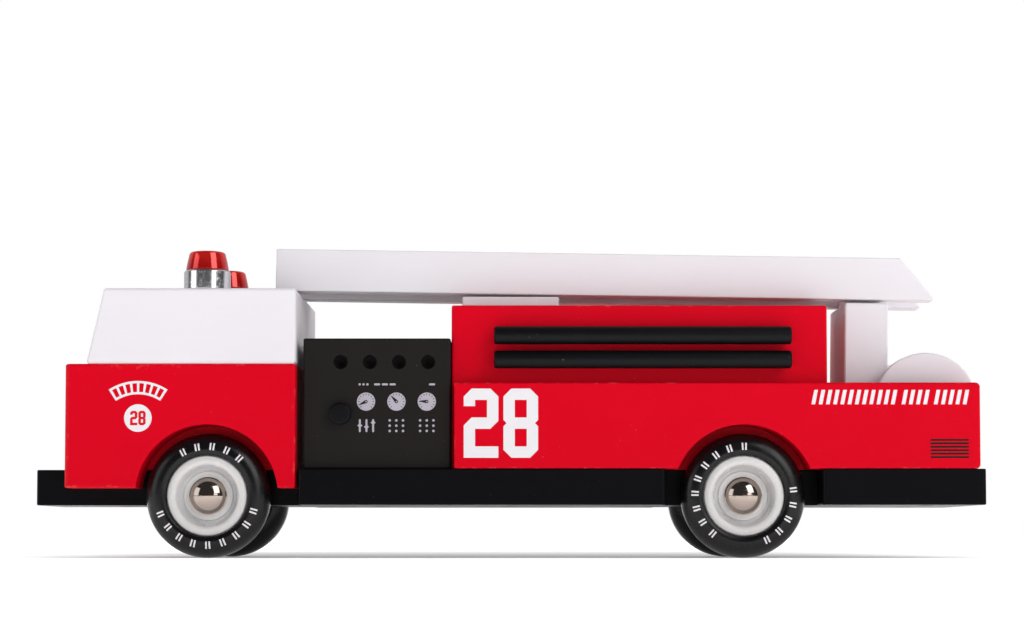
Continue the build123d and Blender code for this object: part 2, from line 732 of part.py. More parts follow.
# ---------------------------------------------------------------- build and write
def all_nodes():
    """Every node of the truck, by name."""
    nodes = {
        "chassis": make_chassis(),
        "cab_lower": make_cab_lower(),
        "cab_upper": make_cab_upper(),
        "cab_dowels": make_cab_dowels(),
        "pump_block": make_pump_block(),
        "body_block": make_body_block(),
        "rear_deck": make_rear_deck(),
        "ladder_rest": make_ladder_rest(),
        "hose_pegs": make_hose_pegs(),
        "chassis_screws": make_screws(),
        "beacon_studs": make_beacon_studs(),
        "hinge_pin": make_hinge_pin(),
        "axle_front": make_axle(front_axle_x),
        "axle_rear": make_axle(rear_axle_x),
        "post_core": make_post_core(),
        "post_pins": make_post_pins(),
        "ladder_rungs": make_ladder_rungs(),
        "fly_rungs": make_fly_rungs(),
    }
    pairs = {
        "side_panel": make_side_panel(),
        "hose_upper": make_hose(hose_zs["upper"]),
        "hose_lower": make_hose(hose_zs["lower"]),
        "beacon_base": make_beacon_base(),
        "beacon_lens": make_beacon_lens(),
        "pump_knob": make_knob(),
        "pump_knob_stem": make_knob_stem(),
        "hinge_ear": make_hinge_ear(),
        "post_cheek": make_post_cheek(),
        "ladder_rail": make_ladder_rail(),
        "fly_rail": make_fly_rail(),
    }
    tyre, rim, cap = make_tyre(), make_rim(), make_hub_cap()
    for end, axle_x in (("front", front_axle_x), ("rear", rear_axle_x)):
        place = Pos(axle_x, wheel_inner, axle_z)
        pairs["tyre_" + end] = place * tyre
        pairs["rim_" + end] = place * rim
        pairs["hub_cap_" + end] = place * cap
    for name, shape in pairs.items():
        nodes[name + "_right"] = shape
        nodes[name + "_left"] = other_side(shape)
    return nodes


os.makedirs("parts", exist_ok=True)
for node_name, node_shape in all_nodes().items():
    export_step(node_shape, "parts/" + node_name + ".step")
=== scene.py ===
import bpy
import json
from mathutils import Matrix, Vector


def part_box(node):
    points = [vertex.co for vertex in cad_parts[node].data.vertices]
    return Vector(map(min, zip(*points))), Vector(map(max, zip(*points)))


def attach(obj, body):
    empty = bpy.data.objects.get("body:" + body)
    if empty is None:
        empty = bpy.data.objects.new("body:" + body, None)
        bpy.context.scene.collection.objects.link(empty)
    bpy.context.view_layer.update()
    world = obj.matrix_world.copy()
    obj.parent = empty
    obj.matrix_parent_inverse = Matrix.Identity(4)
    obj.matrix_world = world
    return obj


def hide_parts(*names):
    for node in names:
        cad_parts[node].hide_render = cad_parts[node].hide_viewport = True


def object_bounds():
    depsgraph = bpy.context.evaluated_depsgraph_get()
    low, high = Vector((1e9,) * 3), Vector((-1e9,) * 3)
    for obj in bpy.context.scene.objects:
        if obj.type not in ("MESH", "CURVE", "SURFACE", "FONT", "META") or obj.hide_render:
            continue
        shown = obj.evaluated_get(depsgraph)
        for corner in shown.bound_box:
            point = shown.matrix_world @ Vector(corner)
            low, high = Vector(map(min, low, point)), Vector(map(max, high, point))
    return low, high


bl_info = {
    "name": "Toy Ladder Truck",
    "version": (1, 0, 0),
    "blender": (4, 5, 0),
    "location": "3D View > Sidebar > Ladder Truck",
    "description": "Builds the finished looks of a wooden toy ladder truck round its packed frame",
    "category": "Add Mesh",
}

from contextlib import contextmanager
import json
import math
import bmesh
import bpy
from bpy.props import FloatProperty, FloatVectorProperty, IntProperty, PointerProperty
from mathutils import Matrix, Vector
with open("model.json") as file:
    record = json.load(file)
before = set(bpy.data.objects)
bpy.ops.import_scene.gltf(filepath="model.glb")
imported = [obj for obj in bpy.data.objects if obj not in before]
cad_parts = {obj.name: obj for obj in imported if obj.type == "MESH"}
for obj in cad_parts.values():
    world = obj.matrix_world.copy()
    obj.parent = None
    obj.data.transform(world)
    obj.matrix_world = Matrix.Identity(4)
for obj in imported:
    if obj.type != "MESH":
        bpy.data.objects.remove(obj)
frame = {"nodes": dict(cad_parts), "record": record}
cad_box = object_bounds()

MM = 0.001
SIDES = {"left": -1, "right": 1}
ENDS = ("front", "rear")


# ---------------------------------------------------------------- settings a user may change
def colour(name, description, rgb):
    """A colour setting, in linear light."""
    return FloatVectorProperty(name=name, description=description, subtype="COLOR", size=3,
                               min=0, max=1, default=rgb)


def length(name, description, millimetres):
    """A length setting; kept in metres."""
    return FloatProperty(name=name, description=description, subtype="DISTANCE", unit="LENGTH",
                         default=millimetres * MM)


def angle(name, description, degrees):
    """An angle setting."""
    return FloatProperty(name=name, description=description, subtype="ANGLE", default=math.radians(degrees))


def power(name, description, watts):
    """A lamp's power setting."""
    return FloatProperty(name=name, description=description, subtype="POWER", unit="POWER", default=watts)


class PaintSettings(bpy.types.PropertyGroup):
    """Colours of the painted wood and of the prints."""
    red: colour("Red", "Lacquer of the lower cab, body and side panels", (0.62, 0.0, 0.0115))
    white: colour("White", "Lacquer of the upper cab, ladder and post", (0.74, 0.715, 0.75))
    black: colour("Black", "Lacquer of the chassis board and hoses", (0.003, 0.003, 0.004))
    charcoal: colour("Charcoal", "Matt lacquer of the pump block", (0.0135, 0.0112, 0.0110))
    print_white: colour("White print", "Ink of the markings", (0.76, 0.74, 0.77))
    # Lighter red for the edges: rubbed lacquer and a painted highlight on the rounded edges.
    worn_and_highlight_red: colour("Worn red", "Red lacquer where an edge has rubbed thin", (0.80, 0.10, 0.07))
    bare_wood: colour("Bare wood", "Plain dowels", (0.52, 0.36, 0.21))


class WheelSettings(bpy.types.PropertyGroup):
    """Shapes of the wheels that the frame doesn't settle."""
    steps: IntProperty(name="Steps", description="Facets round a wheel", default=128, min=32)
    mark_height: length("Mark height", "Radial height of the marks on a tyre", 2.7)
    mark_radius: length("Mark radius", "Middle of the marks on a tyre", 18.45)
    stroke_width: length("Stroke width", "Width of one stroke of a tyre mark", 0.62)
    front_turn: angle("Front turn", "How far the front tyres' marks are turned", 0)
    rear_turn: angle("Rear turn", "How far the rear tyres' marks are turned", 112)
    mark_step: angle("Mark step", "From one mark of a tyre to the next", 17.5)
    stroke_step: angle("Stroke step", "From one stroke of a mark to the next", 3.9)


class MarkingSettings(bpy.types.PropertyGroup):
    """Sizes of the printed markings."""
    ink: length("Ink", "How far a print stands proud of the lacquer", 0.06)
    number_height: length("Number height", "Height of the number on a side panel", 25.9)
    number_stroke: length("Number stroke", "Stroke of the number's figures", 4.25)
    badge_radius: length("Badge radius", "Round badge on the cab's side", 5.15)
    gauge_radius: length("Gauge radius", "Dials on the pump block", 3.43)


class StageSettings(bpy.types.PropertyGroup):
    """Camera and lights."""
    lens: FloatProperty(name="Lens", description="Focal length", subtype="DISTANCE_CAMERA",
                        default=78.36)
    distance: length("Distance", "Camera to the near side of the truck", 832)
    eye_height: length("Eye height", "Camera above the floor", 7.9)
    pitch: angle("Pitch", "Camera tilted up", 2.943)
    shift: FloatProperty(name="Shift", description="Lens shift upwards", default=0.10)
    key_power: power("Key power", "Upper right softbox", 15.0)
    side_power: power("Side power", "Left softbox", 3.5)
    fill_power: power("Fill power", "Soft light from the front", 8.0)
    strip_power: power("Strip power", "Low strip at the right, for bright metal", 1.1)
    glow: FloatProperty(name="Floor glow", description="Light that the sweep behind the truck adds",
                        default=0.75, min=0)


class TruckSettings(bpy.types.PropertyGroup):
    """Everything in one place."""
    paint: PointerProperty(type=PaintSettings)
    wheels: PointerProperty(type=WheelSettings)
    markings: PointerProperty(type=MarkingSettings)
    stage: PointerProperty(type=StageSettings)


# ---------------------------------------------------------------- node helpers
def add_node(tree, kind, settings=None, **inputs):
    """A node with its settings and inputs; an input may be a value or another socket."""
    made = tree.nodes.new(kind)
    for key, value in (settings or {}).items():
        setattr(made, key, value)
    for name, value in inputs.items():
        plug(tree, made.inputs[name.replace("_", " ")], value)
    return made


def plug(tree, socket, value):
    """Link a socket to another one, or set its value."""
    if isinstance(value, bpy.types.NodeSocket):
        tree.links.new(value, socket)
    else:
        socket.default_value = value


def maths(tree, operation, *values, kind="ShaderNodeMath"):
    """Result of a Math node, or of a Vector Math one."""
    made = tree.nodes.new(kind)
    made.operation = operation
    for socket, value in zip(made.inputs, values):
        plug(tree, socket, value)
    return made.outputs[0]


def times(tree, first, second):
    """Product of two numbers."""
    return maths(tree, "MULTIPLY", first, second)


def plus(tree, first, second):
    """Sum of two numbers."""
    return maths(tree, "ADD", first, second)


def minus(tree, first, second):
    """Difference of two numbers."""
    return maths(tree, "SUBTRACT", first, second)


def vector_maths(tree, operation, *values):
    """Result of a Vector Math node."""
    return maths(tree, operation, *values, kind="ShaderNodeVectorMath")


def own_place(tree):
    """Place on the object, in metres."""
    return add_node(tree, "ShaderNodeTexCoord").outputs["Object"]


def noise(tree, place, scale, **inputs):
    """Noise texture's value."""
    return add_node(tree, "ShaderNodeTexNoise", Vector=place, Scale=scale, **inputs).outputs["Fac"]


def mix_colour(tree, factor, first, second):
    """Blend of two colours."""
    made = tree.nodes.new("ShaderNodeMix")
    made.data_type = "RGBA"
    plug(tree, made.inputs["Factor"], factor)
    plug(tree, made.inputs[6], first)
    plug(tree, made.inputs[7], second)
    return made.outputs[2]


def ramp(tree, value, low, high, out_low=0.0, out_high=1.0):
    """Smooth step of a value between two limits."""
    made = add_node(tree, "ShaderNodeMapRange", {"interpolation_type": "SMOOTHSTEP"}, Value=value)
    for name, limit in (("From Min", low), ("From Max", high), ("To Min", out_low), ("To Max", out_high)):
        plug(tree, made.inputs[name], limit)
    return made.outputs[0]


def new_group(name, inputs, outputs):
    """Empty shader node group with named sockets: {name: (kind, default)}."""
    group = bpy.data.node_groups.new(name, "ShaderNodeTree")
    for label, (kind, default) in inputs.items():
        group.interface.new_socket(label, in_out="INPUT", socket_type=kind).default_value = default
    for label, kind in outputs.items():
        group.interface.new_socket(label, in_out="OUTPUT", socket_type=kind)
    return group, group.nodes.new("NodeGroupInput").outputs, group.nodes.new("NodeGroupOutput").inputs


FLOAT, VECTOR, COLOUR = "NodeSocketFloat", "NodeSocketVector", "NodeSocketColor"


def build_lacquer_group():
    """Brushed lacquer: orange peel, grain that shows through along the length, and specks."""
    group, given, result = new_group(
        "Lacquer Film",
        {"Colour": (COLOUR, (1, 1, 1, 1)), "Roughness": (FLOAT, 0.35), "Roughness Spread": (FLOAT, 0.08),
         "Peel Scale": (FLOAT, 900.0), "Grain Scale": (FLOAT, 900.0), "Grain Depth": (FLOAT, 0.3),
         "Grain Direction": (VECTOR, (0.05, 1, 1)), "Tone Spread": (FLOAT, 0.06),
         "Specks": (FLOAT, 0.3)},
        {"Colour": COLOUR, "Roughness": FLOAT, "Height": FLOAT})
    place = own_place(group)
    along = vector_maths(group, "MULTIPLY", place, given["Grain Direction"])
    grain = noise(group, along, given["Grain Scale"], Detail=5.0, Roughness=0.65)
    peel = noise(group, place, given["Peel Scale"], Detail=2.0)
    cloud = noise(group, place, 38.0, Detail=3.0)
    dust = add_node(group, "ShaderNodeTexVoronoi", Vector=place, Scale=520.0).outputs["Distance"]
    speck = times(group, ramp(group, dust, 0.10, 0.02), given["Specks"])
    scarce = ramp(group, noise(group, place, 150.0), 0.55, 0.72)
    speck = times(group, speck, scarce)
    tone = times(group, minus(group, cloud, 0.5), given["Tone Spread"])
    tone = plus(group, tone, times(group, minus(group, grain, 0.5),
                                           times(group, given["Tone Spread"], 0.7)))
    tinted = add_node(group, "ShaderNodeHueSaturation", Color=given["Colour"],
                      Value=plus(group, tone, 1.0)).outputs["Color"]
    plug(group, result["Colour"], mix_colour(group, speck, tinted, (0.9, 0.85, 0.82, 1)))
    spread = times(group, minus(group, cloud, 0.5), given["Roughness Spread"])
    plug(group, result["Roughness"], plus(group, times(group, spread, 2.0),
                                           given["Roughness"]))
    depth = times(group, grain, given["Grain Depth"])
    plug(group, result["Height"], plus(group, depth, times(group, peel, 0.5)))


def build_wear_and_highlight_group():
    """Mask along the edges of a box for rubbed lacquer and a painted highlight on the rounded edges: 1 on
    the edge, broken up by noise, 0 a little way in.
    """
    group, given, result = new_group(
        "Edge Wear",
        {"Low Corner": (VECTOR, (0, 0, 0)), "High Corner": (VECTOR, (1, 1, 1)),
         "Width": (FLOAT, 0.0009), "Breakup": (FLOAT, 300.0), "Amount": (FLOAT, 0.35)},
        {"Mask": FLOAT})
    place = own_place(group)
    inward = vector_maths(group, "MINIMUM",
                          vector_maths(group, "SUBTRACT", place, given["Low Corner"]),
                          vector_maths(group, "SUBTRACT", given["High Corner"], place))
    x, y, z = add_node(group, "ShaderNodeSeparateXYZ", Vector=inward).outputs
    least = maths(group, "MINIMUM", x, maths(group, "MINIMUM", y, z))
    most = maths(group, "MAXIMUM", x, maths(group, "MAXIMUM", y, z))
    total = plus(group, x, plus(group, y, z))
    to_edge = minus(group, minus(group, total, least), most)
    patchy = noise(group, place, given["Breakup"], Detail=4.0, Roughness=0.7)
    width = times(group, given["Width"], ramp(group, patchy, 0.48, 0.74, 0.0, 1.6))
    mask = ramp(group, to_edge, times(group, width, 0.2), width, 1.0, 0.0)
    plug(group, result["Mask"], times(group, mask, given["Amount"]))


def build_scuff_group():
    """Fine pits and rubbed patches for metal and moulded pieces."""
    group, given, result = new_group(
        "Scuffs",
        {"Roughness": (FLOAT, 0.1), "Spread": (FLOAT, 0.08), "Scale": (FLOAT, 420.0),
         "Pits": (FLOAT, 0.5)},
        {"Roughness": FLOAT, "Height": FLOAT})
    place = own_place(group)
    patch = noise(group, place, given["Scale"], Detail=4.0, Roughness=0.6)
    cells = add_node(group, "ShaderNodeTexVoronoi", Vector=place,
                     Scale=times(group, given["Scale"], 3.0)).outputs["Distance"]
    pit = times(group, ramp(group, cells, 0.22, 0.05),
                ramp(group, patch, 0.52, 0.66))
    spread = times(group, ramp(group, patch, 0.4, 0.7), given["Spread"])
    plug(group, result["Roughness"], plus(group, given["Roughness"], spread))
    plug(group, result["Height"], times(group, pit, times(group, given["Pits"], -1.0)))


def shader_material(name, **values):
    """Material with one Principled shader; returns it with its tree and shader."""
    material = bpy.data.materials.new(name)
    material.use_nodes = True
    tree = material.node_tree
    shader = tree.nodes["Principled BSDF"]
    for label, value in values.items():
        shader.inputs[label.replace("_", " ")].default_value = value
    return material, tree, shader


def use_group(tree, name, **inputs):
    """A shader node group placed in a material."""
    made = tree.nodes.new("ShaderNodeGroup")
    made.node_tree = bpy.data.node_groups[name]
    for label, value in inputs.items():
        plug(tree, made.inputs[label.replace("_", " ")], value)
    return made.outputs


def bump(tree, shader, height, distance, strength=1.0):
    """Surface relief from a height, in metres."""
    made = add_node(tree, "ShaderNodeBump", Height=height, Distance=distance, Strength=strength)
    tree.links.new(made.outputs["Normal"], shader.inputs["Normal"])


def rgba(rgb):
    """Colour setting as four numbers."""
    return (*rgb, 1.0)


def lacquer(name, rgb, roughness=0.34, grain=0.3, specular=0.35, coat=0.0, tone=0.05, specks=0.25,
            relief=0.00002, box=None, wear_and_highlight_colour=None, wear_and_highlight_amount=0.4, wear_and_highlight_width=0.0009, grain_way=(0.05, 1, 1),
            grain_scale=900.0):
    """Painted wood.  box gives the corners whose edges get the lighter edge colour, which is rubbed lacquer
    and a painted highlight together.
    """
    material, tree, shader = shader_material(name, Specular_IOR_Level=specular, Coat_Weight=coat,
                                             Coat_Roughness=0.12)
    film = use_group(tree, "Lacquer Film", Colour=rgba(rgb), Roughness=roughness, Grain_Depth=grain,
                     Tone_Spread=tone, Specks=specks, Grain_Direction=grain_way,
                     Grain_Scale=grain_scale)
    shade, rough = film["Colour"], film["Roughness"]
    if box:
        mask = use_group(tree, "Edge Wear", Low_Corner=box[0], High_Corner=box[1], Amount=wear_and_highlight_amount,
                         Width=wear_and_highlight_width)["Mask"]
        # Lighter edges, part wear and part painted highlight.
        shade = mix_colour(tree, mask, shade, rgba(wear_and_highlight_colour))
        rough = plus(tree, rough, times(tree, mask, 0.2))
    plug(tree, shader.inputs["Base Color"], shade)
    plug(tree, shader.inputs["Roughness"], rough)
    bump(tree, shader, film["Height"], relief)
    return material


def plain_print(name, rgb, roughness=0.5):
    """Screen-printed ink with a little unevenness."""
    return lacquer(name, rgb, roughness=roughness, grain=0.2, specular=0.2, tone=0.03, specks=0.0,
                   relief=0.000008)


def scuffed(name, rgb, roughness, spread, pits, scale=420.0, relief=0.00003, **values):
    """Metal or moulded piece with rubbed patches and pits."""
    material, tree, shader = shader_material(name, Base_Color=rgba(rgb), **values)
    marks = use_group(tree, "Scuffs", Roughness=roughness, Spread=spread, Scale=scale, Pits=pits)
    plug(tree, shader.inputs["Roughness"], marks["Roughness"])
    bump(tree, shader, marks["Height"], relief)
    return material


# ---------------------------------------------------------------- mesh helpers
def rounded(outline, closed=True, arc_steps=6):
    """Outline of (x, y, radius) corners with each corner turned into an arc."""
    made = []
    count = len(outline)
    for i, (x, y, radius) in enumerate(outline):
        corner = Vector((x, y, 0))
        if radius <= 0 or (not closed and i in (0, count - 1)):
            made.append((x, y))
            continue
        before = Vector((*outline[i - 1][:2], 0)) - corner
        after = Vector((*outline[(i + 1) % count][:2], 0)) - corner
        half = before.angle(after) / 2
        if half > math.radians(88):
            made.append((x, y))
            continue
        reach = min(radius / math.tan(half), 0.49 * before.length, 0.49 * after.length)
        centre = corner + (before.normalized() + after.normalized()).normalized() * (reach / math.cos(half))
        start = corner + before.normalized() * reach - centre
        end = corner + after.normalized() * reach - centre
        for step in range(arc_steps + 1):
            point = centre + start.slerp(end, step / arc_steps) * start.length
            made.append((point.x, point.y))
    return made


def turned(profile, steps, axis="Y", side=1, centre=(0, 0, 0)):
    """Mesh turned about an axis from (radius, height) points; a closed ring unless it meets the axis."""
    form = bmesh.new()
    rings = []
    for radius, height in profile:
        if radius < 1e-7:
            rings.append([form.verts.new(axis_point(0, 0, height, axis, side, centre))])
            continue
        turn = [2 * math.pi * k / steps for k in range(steps)]
        rings.append([form.verts.new(axis_point(radius * math.cos(a), radius * math.sin(a), height,
                                                axis, side, centre)) for a in turn])
    on_axis = len(rings[0]) == 1 and len(rings[-1]) == 1
    pairs = list(zip(rings, rings[1:])) + ([] if on_axis else [(rings[-1], rings[0])])
    for low, high in pairs:
        for k in range(steps):
            corners = [low[k % len(low)], low[(k + 1) % len(low)],
                       high[(k + 1) % len(high)], high[k % len(high)]]
            unique = list(dict.fromkeys(corners))
            if len(unique) > 2:
                form.faces.new(unique)
    return finish_form(form)


def axis_point(u, v, height, axis, side, centre):
    """Point of a turned piece: height runs outwards along Y, or up along Z."""
    if axis == "Y":
        return Vector(centre) + Vector((u, side * height, v))
    return Vector(centre) + Vector((u, v, height))


def finish_form(form, sharp=35):
    """Mesh from a bmesh, welded, facing outwards, smooth except at its sharp edges."""
    bmesh.ops.remove_doubles(form, verts=form.verts, dist=1e-7)
    bmesh.ops.recalc_face_normals(form, faces=form.faces)
    mesh = bpy.data.meshes.new("form")
    form.to_mesh(mesh)
    form.free()
    mesh.shade_smooth()
    mesh.set_sharp_from_angle(angle=math.radians(sharp))
    return mesh


@contextmanager
def opened(mesh):
    """A mesh opened for editing, and written back afterwards."""
    form = bmesh.new()
    form.from_mesh(mesh)
    yield form
    form.to_mesh(mesh)
    form.free()


def joined(meshes):
    """Several meshes as one."""
    whole = bpy.data.meshes.new("form")
    with opened(whole) as form:
        for mesh in meshes:
            form.from_mesh(mesh)
            bpy.data.meshes.remove(mesh)
    return whole


def both_sides(mesh, reads_at=None):
    """The mesh and its twin on the other side of the truck, as one.

    The twin is the mirror image, or, for figures, turned half round an upright line at x = reads_at."""
    with opened(mesh) as form:
        copy = bmesh.ops.duplicate(form, geom=[*form.verts, *form.edges, *form.faces])["geom"]
        points = [item for item in copy if isinstance(item, bmesh.types.BMVert)]
        if reads_at is None:
            faces = [item for item in copy if isinstance(item, bmesh.types.BMFace)]
            bmesh.ops.scale(form, vec=(1, -1, 1), verts=points)
            bmesh.ops.reverse_faces(form, faces=faces)
        else:
            line = Matrix.Translation((reads_at, 0, 0))
            turn = line @ Matrix.Rotation(math.pi, 4, "Z") @ line.inverted()
            bmesh.ops.transform(form, matrix=turn, verts=points)
    return mesh


def face_outwards(mesh):
    """Recalculated normals on closed plates."""
    with opened(mesh) as form:
        bmesh.ops.recalc_face_normals(form, faces=form.faces)
    return mesh


def flat_print(outlines, thickness, place):
    """Thin plate from closed (x, y) outlines, holes included; place puts it on its surface."""
    curve = bpy.data.curves.new("print", "CURVE")
    curve.dimensions = "2D"
    curve.fill_mode = "BOTH"
    curve.extrude = thickness / 2
    for outline in outlines:
        spline = curve.splines.new("POLY")
        spline.points.add(len(outline) - 1)
        for point, (x, y) in zip(spline.points, outline):
            point.co = (x, y, 0, 1)
        spline.use_cyclic_u = True
    carrier = bpy.data.objects.new("print", curve)
    bpy.context.scene.collection.objects.link(carrier)
    mesh = bpy.data.meshes.new_from_object(carrier.evaluated_get(bpy.context.evaluated_depsgraph_get()))
    bpy.data.objects.remove(carrier)
    bpy.data.curves.remove(curve)
    form = bmesh.new()
    form.from_mesh(mesh)
    bpy.data.meshes.remove(mesh)
    bmesh.ops.transform(form, matrix=place, verts=form.verts)
    return finish_form(form)


def on_left(x, y, z):
    """Place of a print on the left side: its x runs to the tail, its y up, and it faces outwards."""
    return Matrix.Translation((x, y, z)) @ Matrix.Rotation(math.pi / 2, 4, "X")


def new_piece(name, mesh, body, materials, replaced=()):
    """A finished mesh as one piece that rides on a body."""
    piece = bpy.data.objects.new(name, mesh)
    bpy.context.scene.collection.objects.link(piece)
    mesh.materials.clear()
    for material in materials:
        mesh.materials.append(material)
    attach(piece, body)
    if replaced:
        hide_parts(*replaced)
    return piece


def body_of(node):
    """Body that a CAD node belongs to."""
    return next(body for body, nodes in frame["record"]["behaviour"]["bodies"].items() if node in nodes)


def corners_of(node):
    """Low and high corner of a CAD node's box."""
    return [Vector(corner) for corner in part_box(node)]


def centre_of(node):
    """Middle of a CAD node's box."""
    return sum(corners_of(node), Vector()) / 2


def paint_node(node, material):
    """Give a CAD node its material."""
    slots = frame["nodes"][node].data.materials
    slots.clear()
    slots.append(material)


# ---------------------------------------------------------------- geometry node trees
def new_geometry_tree(name, inputs):
    """Empty geometry tree with named inputs and one geometry output."""
    tree = bpy.data.node_groups.new(name, "GeometryNodeTree")
    for label, (kind, default) in inputs.items():
        tree.interface.new_socket(label, in_out="INPUT", socket_type=kind).default_value = default
    tree.interface.new_socket("Material", in_out="INPUT", socket_type="NodeSocketMaterial")
    tree.interface.new_socket("Geometry", in_out="OUTPUT", socket_type="NodeSocketGeometry")
    return tree, tree.nodes.new("NodeGroupInput").outputs, tree.nodes.new("NodeGroupOutput").inputs[0]


def closed_plate(tree, face, thickness):
    """Flat face drawn out to a closed plate."""
    drawn = add_node(tree, "GeometryNodeExtrudeMesh", {"mode": "FACES"}, Mesh=face,
                     Offset_Scale=thickness)
    drawn.inputs["Individual"].default_value = False
    back = add_node(tree, "GeometryNodeFlipFaces", Mesh=face).outputs[0]
    both = tree.nodes.new("GeometryNodeJoinGeometry")
    tree.links.new(back, both.inputs[0])
    tree.links.new(drawn.outputs["Mesh"], both.inputs[0])
    return add_node(tree, "GeometryNodeMergeByDistance", Geometry=both.outputs[0],
                    Distance=1e-6).outputs[0]


def finish_tree(tree, instances, material, output):
    """Realize the instances and set their material."""
    real = add_node(tree, "GeometryNodeRealizeInstances", Geometry=instances).outputs[0]
    done = add_node(tree, "GeometryNodeSetMaterial", Geometry=real, Material=material).outputs[0]
    tree.links.new(done, output)


def build_rows_tree():
    """Rows of round-cornered plates, all facing one way."""
    tree, given, output = new_geometry_tree("Rows of Plates", {
        "Start": (VECTOR, (0, 0, 0)), "Count": ("NodeSocketInt", 3), "Step": (VECTOR, (0.001, 0, 0)),
        "Rows": ("NodeSocketInt", 1), "Row Step": (VECTOR, (0, 0, 0.001)), "Width": (FLOAT, 0.001),
        "Height": (FLOAT, 0.001), "Corner": (FLOAT, 0.0), "Slant": (FLOAT, 0.0),
        "Thickness": (FLOAT, 0.0001), "Turn": (VECTOR, (math.pi / 2, 0, 0))})
    shape = add_node(tree, "GeometryNodeCurvePrimitiveQuadrilateral", {"mode": "PARALLELOGRAM"},
                     Width=given["Width"], Height=given["Height"], Offset=given["Slant"])
    soft = add_node(tree, "GeometryNodeFilletCurve", {"mode": "POLY"}, Curve=shape.outputs[0],
                    Radius=given["Corner"], Count=5, Limit_Radius=True)
    face = add_node(tree, "GeometryNodeFillCurve", {"mode": "NGONS"}, Curve=soft.outputs[0]).outputs[0]
    plate = closed_plate(tree, face, given["Thickness"])
    line = add_node(tree, "GeometryNodeMeshLine", Count=given["Count"], Start_Location=(0, 0, 0),
                    Offset=given["Step"]).outputs[0]
    rows = add_node(tree, "GeometryNodeMeshLine", Count=given["Rows"], Start_Location=given["Start"],
                    Offset=given["Row Step"]).outputs[0]
    field = add_node(tree, "GeometryNodeInstanceOnPoints", Points=rows, Instance=line).outputs[0]
    field = add_node(tree, "GeometryNodeRealizeInstances", Geometry=field).outputs[0]
    marks = add_node(tree, "GeometryNodeInstanceOnPoints", Points=field, Instance=plate,
                     Rotation=given["Turn"]).outputs[0]
    finish_tree(tree, marks, given["Material"], output)


def build_ring_tree():
    """Strokes round a ring in the side view, in groups: ticks of a dial, marks of a tyre."""
    tree, given, output = new_geometry_tree("Strokes Round a Ring", {
        "Centre": (VECTOR, (0, 0, 0)), "Radius": (FLOAT, 0.01), "Strokes": ("NodeSocketInt", 10),
        "Strokes Per Mark": ("NodeSocketInt", 1), "First Angle": (FLOAT, 0.0),
        "Mark Step": (FLOAT, 0.2), "Stroke Step": (FLOAT, 0.05), "Width": (FLOAT, 0.0005),
        "Height": (FLOAT, 0.001), "Thickness": (FLOAT, 0.0001), "Cuts": ("NodeSocketInt", 4)})
    face = add_node(tree, "GeometryNodeMeshGrid", Size_X=given["Width"], Size_Y=given["Height"],
                    Vertices_X=3, Vertices_Y=given["Cuts"]).outputs[0]
    plate = closed_plate(tree, face, given["Thickness"])
    line = add_node(tree, "GeometryNodeMeshLine", Count=given["Strokes"]).outputs[0]
    index = tree.nodes.new("GeometryNodeInputIndex").outputs[0]
    mark = maths(tree, "FLOOR", maths(tree, "DIVIDE", index, given["Strokes Per Mark"]))
    stroke = maths(tree, "MODULO", index, given["Strokes Per Mark"])
    angle = plus(tree, times(tree, mark, given["Mark Step"]),
                  times(tree, stroke, given["Stroke Step"]))
    angle = plus(tree, angle, given["First Angle"])
    spoke = add_node(tree, "ShaderNodeCombineXYZ", X=maths(tree, "SINE", angle),
                     Z=maths(tree, "COSINE", angle)).outputs[0]
    arm = tree.nodes.new("ShaderNodeVectorMath")
    arm.operation = "SCALE"
    plug(tree, arm.inputs[0], spoke)
    plug(tree, arm.inputs["Scale"], given["Radius"])
    spot = vector_maths(tree, "ADD", arm.outputs[0], given["Centre"])
    points = add_node(tree, "GeometryNodeSetPosition", Geometry=line, Position=spot).outputs[0]
    turn = add_node(tree, "ShaderNodeCombineXYZ", X=math.pi / 2, Y=angle).outputs[0]
    marks = add_node(tree, "GeometryNodeInstanceOnPoints", Points=points, Instance=plate,
                     Rotation=turn).outputs[0]
    finish_tree(tree, marks, given["Material"], output)


def grown(tree_name, material, **values):
    """Plain mesh from a geometry tree with these input values."""
    carrier = bpy.data.objects.new("carrier", bpy.data.meshes.new("carrier"))
    bpy.context.scene.collection.objects.link(carrier)
    modifier = carrier.modifiers.new("Repeat", "NODES")
    modifier.node_group = bpy.data.node_groups[tree_name]
    wanted = {label.replace("_", " "): value for label, value in values.items()}
    wanted["Material"] = material
    for item in modifier.node_group.interface.items_tree:
        if item.item_type == "SOCKET" and item.in_out == "INPUT" and item.name in wanted:
            modifier[item.identifier] = wanted[item.name]
    mesh = bpy.data.meshes.new_from_object(carrier.evaluated_get(bpy.context.evaluated_depsgraph_get()))
    carrier.modifiers.remove(modifier)
    bpy.data.objects.remove(carrier)
    return mesh


